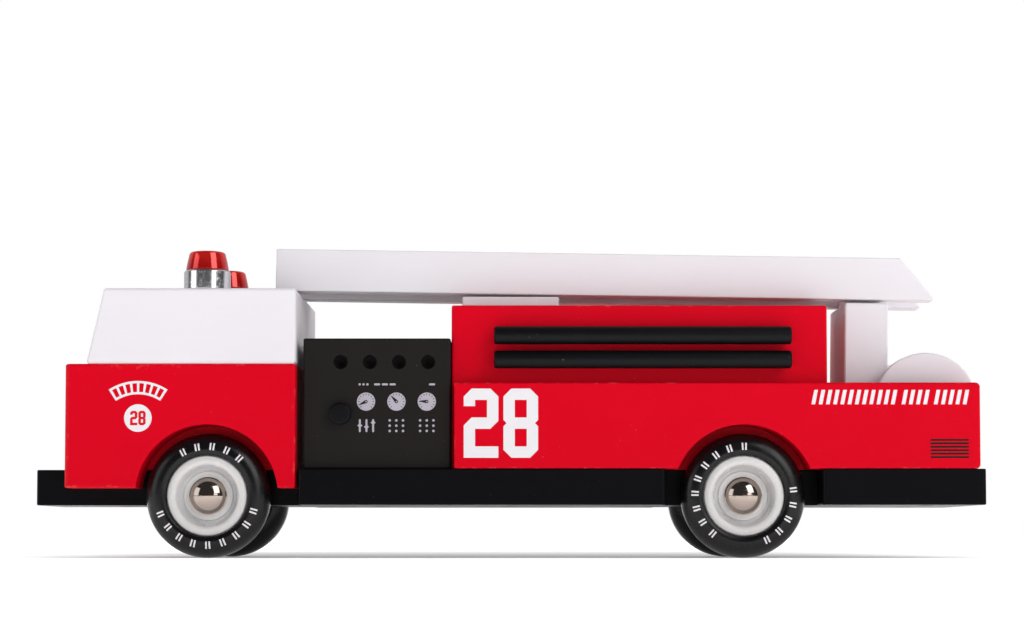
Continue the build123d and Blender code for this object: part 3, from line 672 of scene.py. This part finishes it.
# ---------------------------------------------------------------- painted blocks
class TRUCK_OT_lacquer(bpy.types.Operator):
    """Paint the wooden blocks, boards and dowels"""
    bl_idname = "truck.lacquer"
    bl_label = "Lacquer the blocks"

    def execute(self, context):
        paint = context.scene.ladder_truck.paint
        for node in ("cab_lower", "body_block", "side_panel_left", "side_panel_right", "rear_deck"):
            # Width of the lighter edge band of wear and painted highlight; wider on the cab, whose front
            # corners are rounded more.
            rubbed_and_highlight_width = 1.9 * MM if node == "cab_lower" else 0.8 * MM
            paint_node(node, lacquer("red_" + node, paint.red, box=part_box(node), wear_and_highlight_colour=paint.worn_and_highlight_red,
                                     specular=0.06, roughness=0.36, wear_and_highlight_width=rubbed_and_highlight_width))
        white = lacquer("white_lacquer", paint.white, roughness=0.45, specular=0.2, grain=0.25)
        for node in ("cab_upper", "ladder_rest", "post_core", "hinge_ear_left", "hinge_ear_right",
                     "post_cheek_left", "post_cheek_right", "ladder_rail_left", "ladder_rail_right",
                     "fly_rail_left", "fly_rail_right", "ladder_rungs", "fly_rungs"):
            paint_node(node, white)
        black = lacquer("black_lacquer", paint.black, roughness=0.30, specular=0.06, grain=0.7,
                        specks=0.12)
        paint_node("chassis", black)
        paint_node("hose_pegs", black)
        paint_node("pump_block", lacquer("charcoal_lacquer", paint.charcoal, roughness=0.5,
                                         specular=0.08, grain=0.15, tone=0.12))
        bare = lacquer("bare_wood", paint.bare_wood, roughness=0.6, grain=0.9, tone=0.5, specks=0.0)
        for node in ("cab_dowels", "hinge_pin", "post_pins"):
            paint_node(node, bare)
        return {"FINISHED"}


# ---------------------------------------------------------------- wheels
def tyre_profile(radius, inner, width):
    """Closed outline of a tyre, (radius, distance out from its inner side)."""
    round_over = 6.4 * MM
    bead = 0.6 * MM
    bulge = 0.35 * MM
    steps = 16
    side = [(inner, 1.2 * MM), (inner + 0.12 * MM, 0.75 * MM), (inner + 0.4 * MM, bulge + 0.1 * MM),
            (inner + bead, bulge)]
    turn = [math.pi / 2 * k / steps for k in range(steps + 1)]
    side += [(radius - round_over + round_over * math.sin(a), round_over * (1 - math.cos(a)))
             for a in turn]
    return side + [(r, width - h) for r, h in reversed(side)]


def rim_profile(radius, width, bore):
    """Closed outline of the wheel centre: rounded ring, funnel-shaped dish and low boss."""
    radius, width, bore = radius / MM, width / MM, bore / MM
    hub, hollow, hollow_depth, back = 7, 12, 3, 0.8      # inner side of the wheel
    ring_inner, dish_foot = 11.7, 10.3
    boss_foot, boss_radius = 9.35, 9.15
    line_outer, line_inner, line_depth = 8.5, 7.8, 0.2   # fine turned line in the boss
    face = width - 1.15
    boss = width - 5.4
    outline = [(bore, 0, 0), (hub, 0, 0), (hub, hollow_depth, 1), (hollow, hollow_depth, 1),
               (hollow, back, 0.4), (radius, back, 0.4), (radius, face - 1.5, 0.8),
               (radius - 0.5, face - 0.4, 0.9), (radius - 2.3, face + 0.3, 4),
               (ring_inner, face - 0.25, 2.6), (dish_foot, boss - 1.3, 1.4),
               (boss_foot, boss - 1.2, 0.3), (boss_radius, boss - 0.1, 0.25),
               (line_outer, boss, 0.12), (line_outer - 0.1, boss - line_depth, 0.06),
               (line_inner + 0.1, boss - line_depth, 0.06), (line_inner, boss, 0.06), (bore, boss, 0)]
    return [(x * MM, y * MM) for x, y in rounded(outline, arc_steps=7)]


def cap_profile(seat):
    """Closed outline of the domed cap: thin flange, undercut line and dome."""
    flange, dome, rise = 7.1 * MM, 6.65 * MM, 3.2 * MM
    shoulder = seat + 1.6 * MM
    sphere = (dome ** 2 + rise ** 2) / (2 * rise)
    middle = shoulder + rise - sphere
    start = math.asin(dome / sphere)
    arc_steps = 22
    crown = [(sphere * math.sin(start * (1 - k / arc_steps)),
              middle + sphere * math.cos(start * (1 - k / arc_steps))) for k in range(arc_steps + 1)]
    crown[-1] = (0, shoulder + rise)
    base = rounded([(0, seat, 0), (flange, seat, 0.1 * MM), (flange, seat + 0.55 * MM, 0.25 * MM),
                    (dome + 0.1 * MM, seat + 0.6 * MM, 0.05 * MM),
                    (dome - 0.35 * MM, seat + 0.4 * MM, 0.05 * MM),
                    (dome - 0.15 * MM, shoulder - 0.25 * MM, 0.1 * MM)], closed=False, arc_steps=3)
    return base + crown


def rest_on_profile(mesh, centre, side, profile, lift):
    """Lay the strokes on a turned surface: each point keeps its lift above the profile."""
    outer = sorted((r, h) for r, h in profile if h > max(p[1] for p in profile) / 2)
    for vertex in mesh.vertices:
        radius = math.hypot(vertex.co.x - centre.x, vertex.co.z - centre.z)
        inner = max((p for p in outer if p[0] <= radius), default=outer[0])
        beyond = min((p for p in outer if p[0] >= radius), default=outer[-1])
        share = 0 if beyond[0] == inner[0] else (radius - inner[0]) / (beyond[0] - inner[0])
        surface = inner[1] + share * (beyond[1] - inner[1])
        above = lift if abs(vertex.co.y - centre.y) > lift / 2 else -lift
        vertex.co.y = centre.y + side * (surface + above)


class TRUCK_OT_wheels(bpy.types.Operator):
    """Turn the tyres, wheel centres and hub caps"""
    bl_idname = "truck.wheels"
    bl_label = "Wheels"

    def execute(self, context):
        settings = context.scene.ladder_truck
        wheels = settings.wheels
        rubber = scuffed("tyre_rubber", (0.0030, 0.0030, 0.0038), 0.27, 0.10, 0.3, scale=170.0,
                         Specular_IOR_Level=0.30)
        plastic = scuffed("wheel_plastic", (0.66, 0.65, 0.645), 0.26, 0.02, 0.0, scale=200.0,
                          Subsurface_Weight=0.08, Subsurface_Radius=(0.002, 0.0015, 0.0015))
        nickel = scuffed("polished_nickel", (0.40, 0.335, 0.295), 0.06, 0.12, 1.0, scale=420.0,
                         Metallic=1.0)
        steel = scuffed("plain_steel", (0.55, 0.55, 0.56), 0.3, 0.12, 0.4, Metallic=1.0)
        ink = plain_print("tyre_ink", settings.paint.print_white, 0.45)
        for node in ("axle_front", "axle_rear", "chassis_screws", "beacon_studs",
                     "pump_knob_stem_left", "pump_knob_stem_right"):
            paint_node(node, steel)
        for end in ENDS:
            for label, side in SIDES.items():
                self.make_wheel(end, label, side, wheels, (rubber, plastic, nickel, ink))
        return {"FINISHED"}

    def make_wheel(self, end, label, side, wheels, finishes):
        """One wheel with its cap."""
        rubber, plastic, nickel, ink = finishes
        name = end + "_" + label
        low, high = corners_of("tyre_" + name)
        width = high.y - low.y
        radius = (high.z - low.z) / 2
        rim_low, rim_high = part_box("rim_" + name)
        rim_radius = (rim_high[2] - rim_low[2]) / 2
        centre = Vector(((low.x + high.x) / 2, low.y if side > 0 else high.y, (low.z + high.z) / 2))
        body = "wheel_" + name
        profile = tyre_profile(radius, rim_radius, width)
        new_piece("tyre_look_" + name, turned(profile, wheels.steps, side=side, centre=centre), body,
                  [rubber], ["tyre_" + name])
        new_piece("rim_look_" + name,
                  turned(rim_profile(rim_radius - 0.02 * MM, width, 2.05 * MM), wheels.steps, side=side,
                         centre=centre),
                  body, [plastic], ["rim_" + name])
        cap_low, cap_high = corners_of("hub_cap_" + name)
        seat = min(abs(cap_low.y - centre.y), abs(cap_high.y - centre.y))
        new_piece("hub_cap_look_" + name,
                  turned(cap_profile(seat), wheels.steps, side=side, centre=centre),
                  body_of("hub_cap_" + name), [nickel], ["hub_cap_" + name])
        turn = wheels.front_turn if end == "front" else wheels.rear_turn
        marks = []
        for count, middle in ((5, math.radians(6)), (9, math.radians(178))):
            first = middle - wheels.mark_step * (count - 1) / 2 - math.radians(1.8) + turn
            marks.append(grown("Strokes Round a Ring", ink, Centre=centre, Radius=wheels.mark_radius,
                               Strokes=2 * count, Strokes_Per_Mark=2, First_Angle=-side * first,
                               Mark_Step=wheels.mark_step, Stroke_Step=wheels.stroke_step,
                               Width=wheels.stroke_width, Height=wheels.mark_height,
                               Thickness=0.2 * MM, Cuts=5))
        mesh = joined(marks)
        rest_on_profile(mesh, centre, side, profile, 0.05 * MM)
        new_piece("tyre_marks_" + name, face_outwards(mesh), body, [ink])


# ---------------------------------------------------------------- beacons
class TRUCK_OT_beacons(bpy.types.Operator):
    """Turn the beacons' metal bases and red lenses"""
    bl_idname = "truck.beacons"
    bl_label = "Beacons"

    def execute(self, context):
        steps = context.scene.ladder_truck.wheels.steps
        bright = scuffed("bright_aluminium", (0.80, 0.80, 0.83), 0.16, 0.10, 1.0, scale=700.0,
                         Metallic=1.0)
        lens, tree, shader = shader_material(
            "red_lens", Metallic=0.5, IOR=1.49, Coat_Weight=0.55, Coat_Roughness=0.03)
        marks = use_group(tree, "Scuffs", Roughness=0.10, Spread=0.05, Scale=300.0, Pits=0.1)
        plug(tree, shader.inputs["Roughness"], marks["Roughness"])
        foot, crown = (corner[2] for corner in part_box("beacon_lens_left"))
        place = own_place(tree)
        height = add_node(tree, "ShaderNodeSeparateXYZ", Vector=place).outputs["Z"]
        # Painted shade: the lens's colour runs from a darker red at its foot to a lighter red at its crown.
        plug(tree, shader.inputs["Base Color"],
             mix_colour(tree, ramp(tree, height, foot, crown), (0.50, 0.004, 0.004, 1),
                        (0.78, 0.02, 0.014, 1)))
        for label in SIDES:
            base_low, base_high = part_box("beacon_base_" + label)
            lens_low, lens_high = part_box("beacon_lens_" + label)
            centre = (centre_of("beacon_base_" + label).x, centre_of("beacon_base_" + label).y, 0)
            radius = (base_high[0] - base_low[0]) / 2
            base = rounded([(0, base_low[2], 0), (radius - 0.15 * MM, base_low[2], 0.1 * MM),
                            (radius, base_low[2] + 0.3 * MM, 0.2 * MM),
                            (radius, base_high[2] - 0.55 * MM, 0.35 * MM),
                            (radius - 0.35 * MM, base_high[2] - 0.05 * MM, 0.3 * MM),
                            (radius - 1.6 * MM, base_high[2], 0.2 * MM), (0, base_high[2], 0)],
                           closed=False)
            new_piece("beacon_base_look_" + label, turned(base, steps, "Z", centre=centre), "truck",
                      [bright], ["beacon_base_" + label])
            foot = (lens_high[0] - lens_low[0]) / 2
            top = foot - 1.45 * MM
            seat = lens_low[2] + 0.02 * MM
            glass = rounded([(0, seat, 0), (foot - 0.3 * MM, seat, 0.1 * MM),
                             (foot, lens_low[2] + 0.35 * MM, 0.25 * MM),
                             (foot - 0.62 * MM, lens_low[2] + 3.7 * MM, 4 * MM),
                             (top, lens_high[2] - 0.1 * MM, 1.3 * MM),
                             (top - 3.2 * MM, lens_high[2], 1.0 * MM), (0, lens_high[2], 0)],
                            closed=False, arc_steps=8)
            new_piece("beacon_lens_look_" + label, turned(glass, steps, "Z", centre=centre), "truck",
                      [lens], ["beacon_lens_" + label])
        return {"FINISHED"}


# ---------------------------------------------------------------- hoses and knobs
class TRUCK_OT_hoses(bpy.types.Operator):
    """Make the rolled hoses along the body and the valve knobs"""
    bl_idname = "truck.hoses"
    bl_label = "Hoses and knobs"

    def execute(self, context):
        settings = context.scene.ladder_truck
        rough_black = lacquer("hose_black", settings.paint.black, roughness=0.40, grain=1.0,
                              specular=0.14, relief=0.00010, specks=0.5, tone=0.3, grain_scale=1300.0,
                              grain_way=(0.12, 1, 1))
        knob_black = lacquer("knob_black", settings.paint.black, roughness=0.45, grain=0.5,
                             specular=0.12, relief=0.00005)
        for label, side in SIDES.items():
            for level in ("upper", "lower"):
                node = "hose_" + level + "_" + label
                low, high = corners_of(node)
                middle = (low + high) / 2
                radius = (high.z - low.z) / 2 - 0.01 * MM
                edge = 0.55 * MM
                outline = rounded([(0, low.x, 0), (radius - edge, low.x, edge / 2),
                                   (radius, low.x + edge, edge / 2), (radius, middle.x, 0),
                                   (radius, high.x - edge, edge / 2),
                                   (radius - edge, high.x, edge / 2), (0, high.x, 0)], closed=False)
                mesh = turned(outline, 96, "Z")
                for vertex in mesh.vertices:
                    u, v, along = vertex.co
                    vertex.co = (along, middle.y + u, middle.z + v)
                new_piece(node + "_look", face_outwards(mesh), "truck",
                          [rough_black], [node])
            node = "pump_knob_" + label
            low, high = corners_of(node)
            middle = (low + high) / 2
            radius, depth = (high.x - low.x) / 2, high.y - low.y
            outline = rounded([(0, 0, 0), (radius - 0.2 * MM, 0, 0.1 * MM), (radius, 0.3 * MM, 0.1 * MM),
                               (radius, depth - 0.5 * MM, 0.5 * MM), (radius - 0.7 * MM, depth, 0.5 * MM),
                               (0, depth, 0)], closed=False)
            centre = (middle.x, low.y if side > 0 else high.y, middle.z)
            new_piece(node + "_look", turned(outline, 64, side=side, centre=centre),
                      "knob_" + label, [knob_black], [node])
        return {"FINISHED"}


# ---------------------------------------------------------------- markings
def figure_two(width, height, stroke):
    """Block figure with clipped corners, as closed outlines."""
    clip = 0.7 * stroke
    middle = height / 2
    tip = height - 1.55 * stroke
    return [[(0, 0), (width, 0), (width, stroke), (stroke, stroke), (stroke, middle - stroke / 2),
             (width - clip, middle - stroke / 2), (width, middle - stroke / 2 + clip),
             (width, height - clip), (width - clip, height), (clip, height), (0, height - clip),
             (0, tip), (stroke, tip), (stroke, height - stroke), (width - stroke, height - stroke),
             (width - stroke, middle + stroke / 2), (clip, middle + stroke / 2),
             (0, middle + stroke / 2 - clip)]]


def figure_eight(width, height, stroke):
    """Block figure with clipped corners and two windows."""
    clip = 0.7 * stroke
    waist = 0.28 * stroke
    middle = height / 2
    outer = [(clip, 0), (width - clip, 0), (width, clip), (width, middle - waist),
             (width - waist, middle), (width, middle + waist), (width, height - clip),
             (width - clip, height), (clip, height), (0, height - clip), (0, middle + waist),
             (waist, middle), (0, middle - waist), (0, clip)]
    low_window = [(stroke, stroke), (stroke, middle - stroke / 2), (width - stroke, middle - stroke / 2),
                  (width - stroke, stroke)]
    high_window = [(stroke, middle + stroke / 2), (stroke, height - stroke),
                   (width - stroke, height - stroke), (width - stroke, middle + stroke / 2)]
    return [outer, low_window, high_window]


def number_outlines(height, stroke, gap):
    """The truck's number, centred on its own middle."""
    width = height / 2
    shift = -(2 * width + gap) / 2
    first = figure_two(width, height, stroke)
    second = [[(x + width + gap, y) for x, y in line] for line in figure_eight(width, height, stroke)]
    return [[(x + shift, y - height / 2) for x, y in line] for line in first + second]


def circle(radius, steps=72):
    """Closed circle."""
    return [(radius * math.cos(2 * math.pi * k / steps), radius * math.sin(2 * math.pi * k / steps))
            for k in range(steps)]


def band(low, high, start, end, steps):
    """Closed arc-shaped outline between two radii and two angles from the top."""
    angles = [start + (end - start) * k / steps for k in range(steps + 1)]
    return ([(high * math.sin(a), high * math.cos(a)) for a in angles]
            + [(low * math.sin(a), low * math.cos(a)) for a in reversed(angles)])


def arched_ladder(radius, height, half_angle, windows):
    """Pictogram: a ladder bent over the badge, a solid band with its windows left out."""
    bar = height * 0.17
    rung = bar / (radius + height / 2)
    pitch = (2 * half_angle - rung) / windows
    outlines = [band(radius, radius + height, -half_angle, half_angle, 40)]
    for k in range(windows):
        start = -half_angle + rung + pitch * k
        outlines.append(band(radius + bar, radius + height - bar, start, start + pitch - rung, 5))
    return outlines


class TRUCK_OT_markings(bpy.types.Operator):
    """Print the number, badge, stripes and vents on the red sides"""
    bl_idname = "truck.markings"
    bl_label = "Side markings"

    def execute(self, context):
        settings = context.scene.ladder_truck
        marks = settings.markings
        white = plain_print("white_ink", settings.paint.print_white)
        black = plain_print("black_ink", (0.004, 0.004, 0.005), 0.4)
        red = plain_print("red_ink", settings.paint.red, 0.4)
        low, high = corners_of("side_panel_left")
        face = low.y
        number_x = low.x + 17.5 * MM
        number = flat_print(number_outlines(marks.number_height, marks.number_stroke, 1.9 * MM),
                            2 * marks.ink, on_left(number_x, face, low.z + 17.0 * MM))
        new_piece("side_number", both_sides(number, number_x), "truck", [white])
        cab_low, cab_high = corners_of("cab_lower")
        badge_x, badge_z = cab_low.x + 27.7 * MM, cab_high.z - 20.4 * MM
        disc = flat_print([circle(marks.badge_radius)], 2 * marks.ink, on_left(badge_x, cab_low.y, badge_z))
        new_piece("cab_badge", both_sides(disc), "truck", [white])
        small = flat_print(number_outlines(5.4 * MM, 0.95 * MM, 0.4 * MM), 2 * marks.ink,
                           on_left(badge_x, cab_low.y - marks.ink, badge_z))
        new_piece("cab_badge_number", both_sides(small, badge_x), "truck", [red])
        arch = flat_print(arched_ladder(15.2 * MM, 5.0 * MM, math.radians(33), 8), 2 * marks.ink,
                          on_left(badge_x, cab_low.y, badge_z - 6.3 * MM))
        new_piece("cab_ladder_sign", both_sides(arch), "truck", [white])
        stripe_width, stripe_z = 1.4 * MM, high.z - 5.55 * MM
        proud = face - marks.ink / 2
        stripes = []
        for start, count in ((-63.35, 12), (-29.65, 4), (-17.6, 5)):
            stripes.append(grown("Rows of Plates", white, Count=count, Rows=1, Step=(2.7 * MM, 0, 0),
                                 Start=(high.x + start * MM + stripe_width, proud, stripe_z),
                                 Width=stripe_width, Height=5.4 * MM, Slant=1.1 * MM,
                                 Corner=0.12 * MM, Thickness=marks.ink))
        new_piece("tail_stripes", both_sides(joined(stripes)), "truck", [white])
        vent_x, vent_z = high.x - 11.65 * MM, low.z + 4.3 * MM
        vent_pitch, vent_length, vent_width = 1.285 * MM, 14.4 * MM, 0.68 * MM
        vents = grown("Rows of Plates", black, Start=(vent_x, proud, vent_z), Count=1, Rows=6,
                      Row_Step=(0, 0, vent_pitch), Width=vent_length, Height=vent_width,
                      Corner=0.3 * MM, Thickness=marks.ink)
        new_piece("tail_vents", both_sides(vents), "truck", [black])
        self.print_front(cab_low, cab_high, marks, white, black)
        return {"FINISHED"}

    def print_front(self, low, high, marks, white, black):
        """Headlamps and grille on the cab's front face."""
        lamp_y, lamp_height = 28 * MM, 19 * MM
        ring_radius, ring_inner, glass_radius = 6 * MM, 5.2 * MM, 4.4 * MM
        grille_height, bar_pitch, bar_length, bar_width = 14.2 * MM, 1.9 * MM, 32 * MM, 0.9 * MM
        facing = Matrix.Rotation(-math.pi / 2, 4, "Z") @ Matrix.Rotation(math.pi / 2, 4, "X")
        lamps = []
        for y in (-lamp_y, lamp_y):
            place = Matrix.Translation((low.x, y, low.z + lamp_height)) @ facing
            lamps.append(flat_print([circle(ring_radius), circle(ring_inner)], 2 * marks.ink, place))
            lamps.append(flat_print([circle(glass_radius)], 2 * marks.ink, place))
        new_piece("front_lamps", joined(lamps), "truck", [white])
        grille = grown("Rows of Plates", black, Start=(low.x - marks.ink / 2, 0, low.z + grille_height),
                       Count=1, Rows=6, Row_Step=(0, 0, bar_pitch), Width=bar_length, Height=bar_width,
                       Corner=0.4 * MM, Thickness=marks.ink, Turn=(math.pi / 2, 0, -math.pi / 2))
        new_piece("front_grille", grille, "truck", [black])


class TRUCK_OT_pump_panel(bpy.types.Operator):
    """Print the dials, sliders, lamps and key pads of the pump panel"""
    bl_idname = "truck.pump_panel"
    bl_label = "Pump panel"

    def execute(self, context):
        settings = context.scene.ladder_truck
        marks = settings.markings
        pale = plain_print("panel_ink", (0.42, 0.39, 0.45), 0.5)
        dark = plain_print("dial_ink", (0.012, 0.011, 0.012), 0.5)
        low, high = corners_of("pump_block")
        face = low.y
        middle = (low.x + high.x) / 2
        first_column, column_pitch = middle - 4.05 * MM, 11.42 * MM
        columns = [first_column + column_pitch * k for k in range(3)]
        dial_z = high.z - 23.9 * MM
        lamp_z = high.z - 17.4 * MM
        keys_z = high.z - 32.95 * MM
        dial_sweep, tick_count = math.radians(270), 13
        needle_tip, needle_root, needle_hub = 2.7 * MM, 0.25 * MM, 0.62 * MM
        discs, ticks, needles = [], [], []
        for x, needle in zip(columns, (245, 318, 274)):
            centre = Vector((x, face, dial_z))
            discs.append(flat_print([circle(marks.gauge_radius)], 2 * marks.ink, on_left(*centre)))
            ticks.append(grown("Strokes Round a Ring", dark, Centre=centre - Vector((0, marks.ink, 0)),
                               Radius=marks.gauge_radius * 0.80, Strokes=tick_count,
                               First_Angle=-dial_sweep / 2, Mark_Step=dial_sweep / (tick_count - 1),
                               Width=0.22 * MM, Height=0.60 * MM, Thickness=marks.ink, Cuts=2))
            turn = Matrix.Rotation(math.radians(-needle), 4, "Z")
            hand = [(-0.16 * MM, needle_tip), (0.16 * MM, needle_tip), (needle_hub, needle_root)]
            hub = [(needle_hub * math.sin(a), -needle_hub * math.cos(a))
                   for a in [math.radians(110 - 220 * k / 10) for k in range(11)]]
            needles.append(flat_print([hand + hub + [(-needle_hub, needle_root)], circle(0.26 * MM, 20)],
                                      2 * marks.ink, on_left(x, face - marks.ink, dial_z) @ turn))
        new_piece("dial_faces", both_sides(joined(discs)), "truck", [pale])
        new_piece("dial_ticks", both_sides(joined(ticks)), "truck", [dark])
        new_piece("dial_needles", both_sides(joined(needles)), "truck", [dark])
        proud = face - marks.ink / 2
        lamps = []
        for x, count, step, width, height in (
                (columns[0] - 2.4 * MM, 3, 1.45 * MM, 0.85 * MM, 0.85 * MM),
                (columns[0] + 4.15 * MM, 3, 2.92 * MM, 2.3 * MM, 0.75 * MM),
                (columns[2] + 1.95 * MM, 1, 0.0, 2.3 * MM, 0.75 * MM)):
            lamps.append(self.row(pale, marks, (x, proud, lamp_z), count, step, width, height))
        for x in columns[1:]:
            lamps.append(grown("Rows of Plates", pale, Start=(x - 2.5 * MM, proud, keys_z - 1.98 * MM),
                               Count=3, Step=(2.5 * MM, 0, 0), Rows=3, Row_Step=(0, 0, 1.98 * MM),
                               Width=0.92 * MM, Height=0.92 * MM, Corner=0.45 * MM,
                               Thickness=marks.ink))
        new_piece("panel_lamps", both_sides(joined(lamps)), "truck", [pale])
        track, pitch = columns[0] - 2.3 * MM, 2.5 * MM
        sliders = [self.row(pale, marks, (track, proud, keys_z), 3, pitch, 0.72 * MM, 4.9 * MM)]
        for k, rise in enumerate((0.05, -0.45, 1.15)):
            sliders.append(self.thumb(marks, track + pitch * k, face, keys_z + rise * MM))
        new_piece("panel_sliders", both_sides(joined(sliders)), "truck", [pale])
        return {"FINISHED"}

    def row(self, ink, marks, start, count, step, width, height):
        """A row of rounded marks."""
        return grown("Rows of Plates", ink, Start=start, Count=count, Step=(step, 0, 0), Rows=1,
                     Width=width, Height=height, Corner=min(width, height) * 0.49, Thickness=marks.ink)

    def thumb(self, marks, x, face, z):
        """Pointed thumb of a slider."""
        half, tall = 0.98 * MM, 0.85 * MM
        outline = rounded([(-half, 0, 0.15 * MM), (0, -tall, 0.3 * MM), (half, 0, 0.15 * MM),
                           (0, tall, 0.3 * MM)])
        return flat_print([outline], 2 * marks.ink, on_left(x, face - 0.3 * marks.ink, z))


# ---------------------------------------------------------------- stage
class TRUCK_OT_stage(bpy.types.Operator):
    """Set up the floor, the soft lights, the backdrop and the camera"""
    bl_idname = "truck.stage"
    bl_label = "Stage"

    def execute(self, context):
        scene = context.scene
        stage = scene.ladder_truck.stage
        scene.view_settings.view_transform = "Standard"
        self.make_floor()
        self.make_world()
        for name, way, distance, size, watts in (
                ("key_softbox", (0.57, -0.60, 0.52), 2.0, (1.0, 1.3), stage.key_power),
                ("side_softbox", (-0.88, -0.40, 0.28), 1.6, (0.75, 0.9), stage.side_power),
                ("right_strip", (0.56, -0.80, 0.12), 1.6, (0.55, 0.30), stage.strip_power),
                ("front_fill", (0.05, -0.88, 0.46), 2.4, (2.2, 1.5), stage.fill_power)):
            lamp = self.softbox(name, way, distance, size, watts)
        lamp.visible_glossy = False      # the fill leaves no mark on the lacquer
        camera_data = bpy.data.cameras.new("camera")
        camera_data.lens = stage.lens
        camera_data.sensor_width = 36
        camera_data.shift_y = stage.shift
        camera_data.clip_start = 0.01
        camera = bpy.data.objects.new("camera", camera_data)
        scene.collection.objects.link(camera)
        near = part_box("side_panel_left")[0][1]
        sideways = 1.85 * MM             # the camera stands a little towards the tail
        middle = (cad_box[0][0] + cad_box[1][0]) / 2 + sideways
        camera.location = (middle, near - stage.distance, stage.eye_height)
        camera.rotation_euler = (math.pi / 2 + stage.pitch, 0, 0)
        scene.camera = camera
        return {"FINISHED"}

    def make_floor(self):
        """Large pale floor, with a painted shadow that darkens it under and behind the truck."""
        form = bmesh.new()
        bmesh.ops.create_grid(form, x_segments=1, y_segments=1, size=15)
        mesh = bpy.data.meshes.new("floor")
        form.to_mesh(mesh)
        form.free()
        floor = bpy.data.objects.new("floor", mesh)
        bpy.context.scene.collection.objects.link(floor)
        material, tree, shader = shader_material("floor", Specular_IOR_Level=0.05,
                                                 Emission_Color=(1, 1, 1, 1))
        place = own_place(tree)
        x, y, z = add_node(tree, "ShaderNodeSeparateXYZ", Vector=place).outputs
        # Painted shadow: a soft patch under the truck that runs out behind it, and a faint wide one round
        # it.
        beside = ramp(tree, maths(tree, "ABSOLUTE", x), 0.27, 0.10)
        fade = ramp(tree, y, 0.9, 0.02)
        behind = times(tree, ramp(tree, y, -0.07, 0.0), times(tree, fade, fade))
        near = times(tree, times(tree, beside, behind), 0.66)
        away = vector_maths(tree, "MULTIPLY", place, (1.0, 1.0, 0.0))
        wide_painted_shadow = times(tree, ramp(tree, add_node(
            tree, "ShaderNodeVectorMath", {"operation": "LENGTH"}, Vector=away).outputs["Value"],
            2.2, 0.2), ramp(tree, y, -0.10, 0.10, 0.0, 0.14))
        painted_shadow = plus(tree, near, wide_painted_shadow)
        glow = bpy.context.scene.ladder_truck.stage.glow
        # Where the painted shadow lies, the floor glows less and its colour is darker.
        plug(tree, shader.inputs["Emission Strength"],
             times(tree, minus(tree, 1.0, painted_shadow), glow))
        plug(tree, shader.inputs["Base Color"],
             mix_colour(tree, painted_shadow, (0.86, 0.86, 0.86, 1), (0.28, 0.28, 0.28, 1)))
        grit = noise(tree, place, 60.0, Detail=3.0)
        plug(tree, shader.inputs["Roughness"], ramp(tree, grit, 0.3, 0.7, 0.6, 0.7))
        mesh.materials.append(material)

    def make_world(self):
        """White backdrop for the eye; a dim room for light and reflections."""
        world = bpy.data.worlds.new("studio")
        bpy.context.scene.world = world
        world.use_nodes = True
        tree = world.node_tree
        background = tree.nodes["Background"]
        seen = tree.nodes.new("ShaderNodeLightPath").outputs
        way = add_node(tree, "ShaderNodeTexCoord").outputs["Generated"]
        x, y, z = add_node(tree, "ShaderNodeSeparateXYZ", Vector=way).outputs
        back = mix_colour(tree, seen["Is Glossy Ray"], (1.8, 1.8, 1.81, 1), (0.50, 0.50, 0.51, 1))
        room = mix_colour(tree, ramp(tree, y, 0.0, 0.35), (0.06, 0.06, 0.062, 1), back)
        plug(tree, background.inputs["Color"],
             mix_colour(tree, seen["Is Camera Ray"], room, (1, 1, 1, 1)))

    def softbox(self, name, way, distance, size, power):
        """Rectangular soft light that looks at the middle of the truck."""
        data = bpy.data.lights.new(name, "AREA")
        data.shape = "RECTANGLE"
        data.size, data.size_y = size
        data.energy = power
        lamp = bpy.data.objects.new(name, data)
        bpy.context.scene.collection.objects.link(lamp)
        low, high = (Vector(corner) for corner in cad_box)
        aim = (low + high) / 2
        direction = Vector(way).normalized()
        lamp.location = aim + direction * distance
        lamp.rotation_euler = (-direction).to_track_quat("-Z", "Y").to_euler()
        return lamp


# ---------------------------------------------------------------- panel and start
PIECES = (TRUCK_OT_lacquer, TRUCK_OT_wheels, TRUCK_OT_beacons, TRUCK_OT_hoses, TRUCK_OT_markings,
          TRUCK_OT_pump_panel, TRUCK_OT_stage)


class TRUCK_PT_panel(bpy.types.Panel):
    """Buttons for each group of pieces"""
    bl_idname = "TRUCK_PT_panel"
    bl_label = "Ladder Truck"
    bl_space_type = "VIEW_3D"
    bl_region_type = "UI"
    bl_category = "Ladder Truck"

    def draw(self, context):
        for piece in PIECES:
            self.layout.operator(piece.bl_idname)
        settings = context.scene.ladder_truck
        for group in (settings.paint, settings.wheels, settings.markings, settings.stage):
            box = self.layout.box()
            for name in group.bl_rna.properties.keys():
                if name not in ("rna_type", "name"):
                    box.prop(group, name)


CLASSES = (PaintSettings, WheelSettings, MarkingSettings, StageSettings, TruckSettings, *PIECES,
           TRUCK_PT_panel)


def register():
    """Register the classes and hang the settings on the scene."""
    for item in CLASSES:
        bpy.utils.register_class(item)
    bpy.types.Scene.ladder_truck = PointerProperty(type=TruckSettings)


def unregister():
    """Take the settings and classes away again."""
    del bpy.types.Scene.ladder_truck
    for item in reversed(CLASSES):
        bpy.utils.unregister_class(item)


def main():
    """Build everything."""
    register()
    build_lacquer_group()
    build_wear_and_highlight_group()
    build_scuff_group()
    build_rows_tree()
    build_ring_tree()
    bpy.ops.truck.lacquer()
    bpy.ops.truck.wheels()
    bpy.ops.truck.beacons()
    bpy.ops.truck.hoses()
    bpy.ops.truck.markings()
    bpy.ops.truck.pump_panel()
    bpy.ops.truck.stage()


if __name__ == "__main__":
    main()
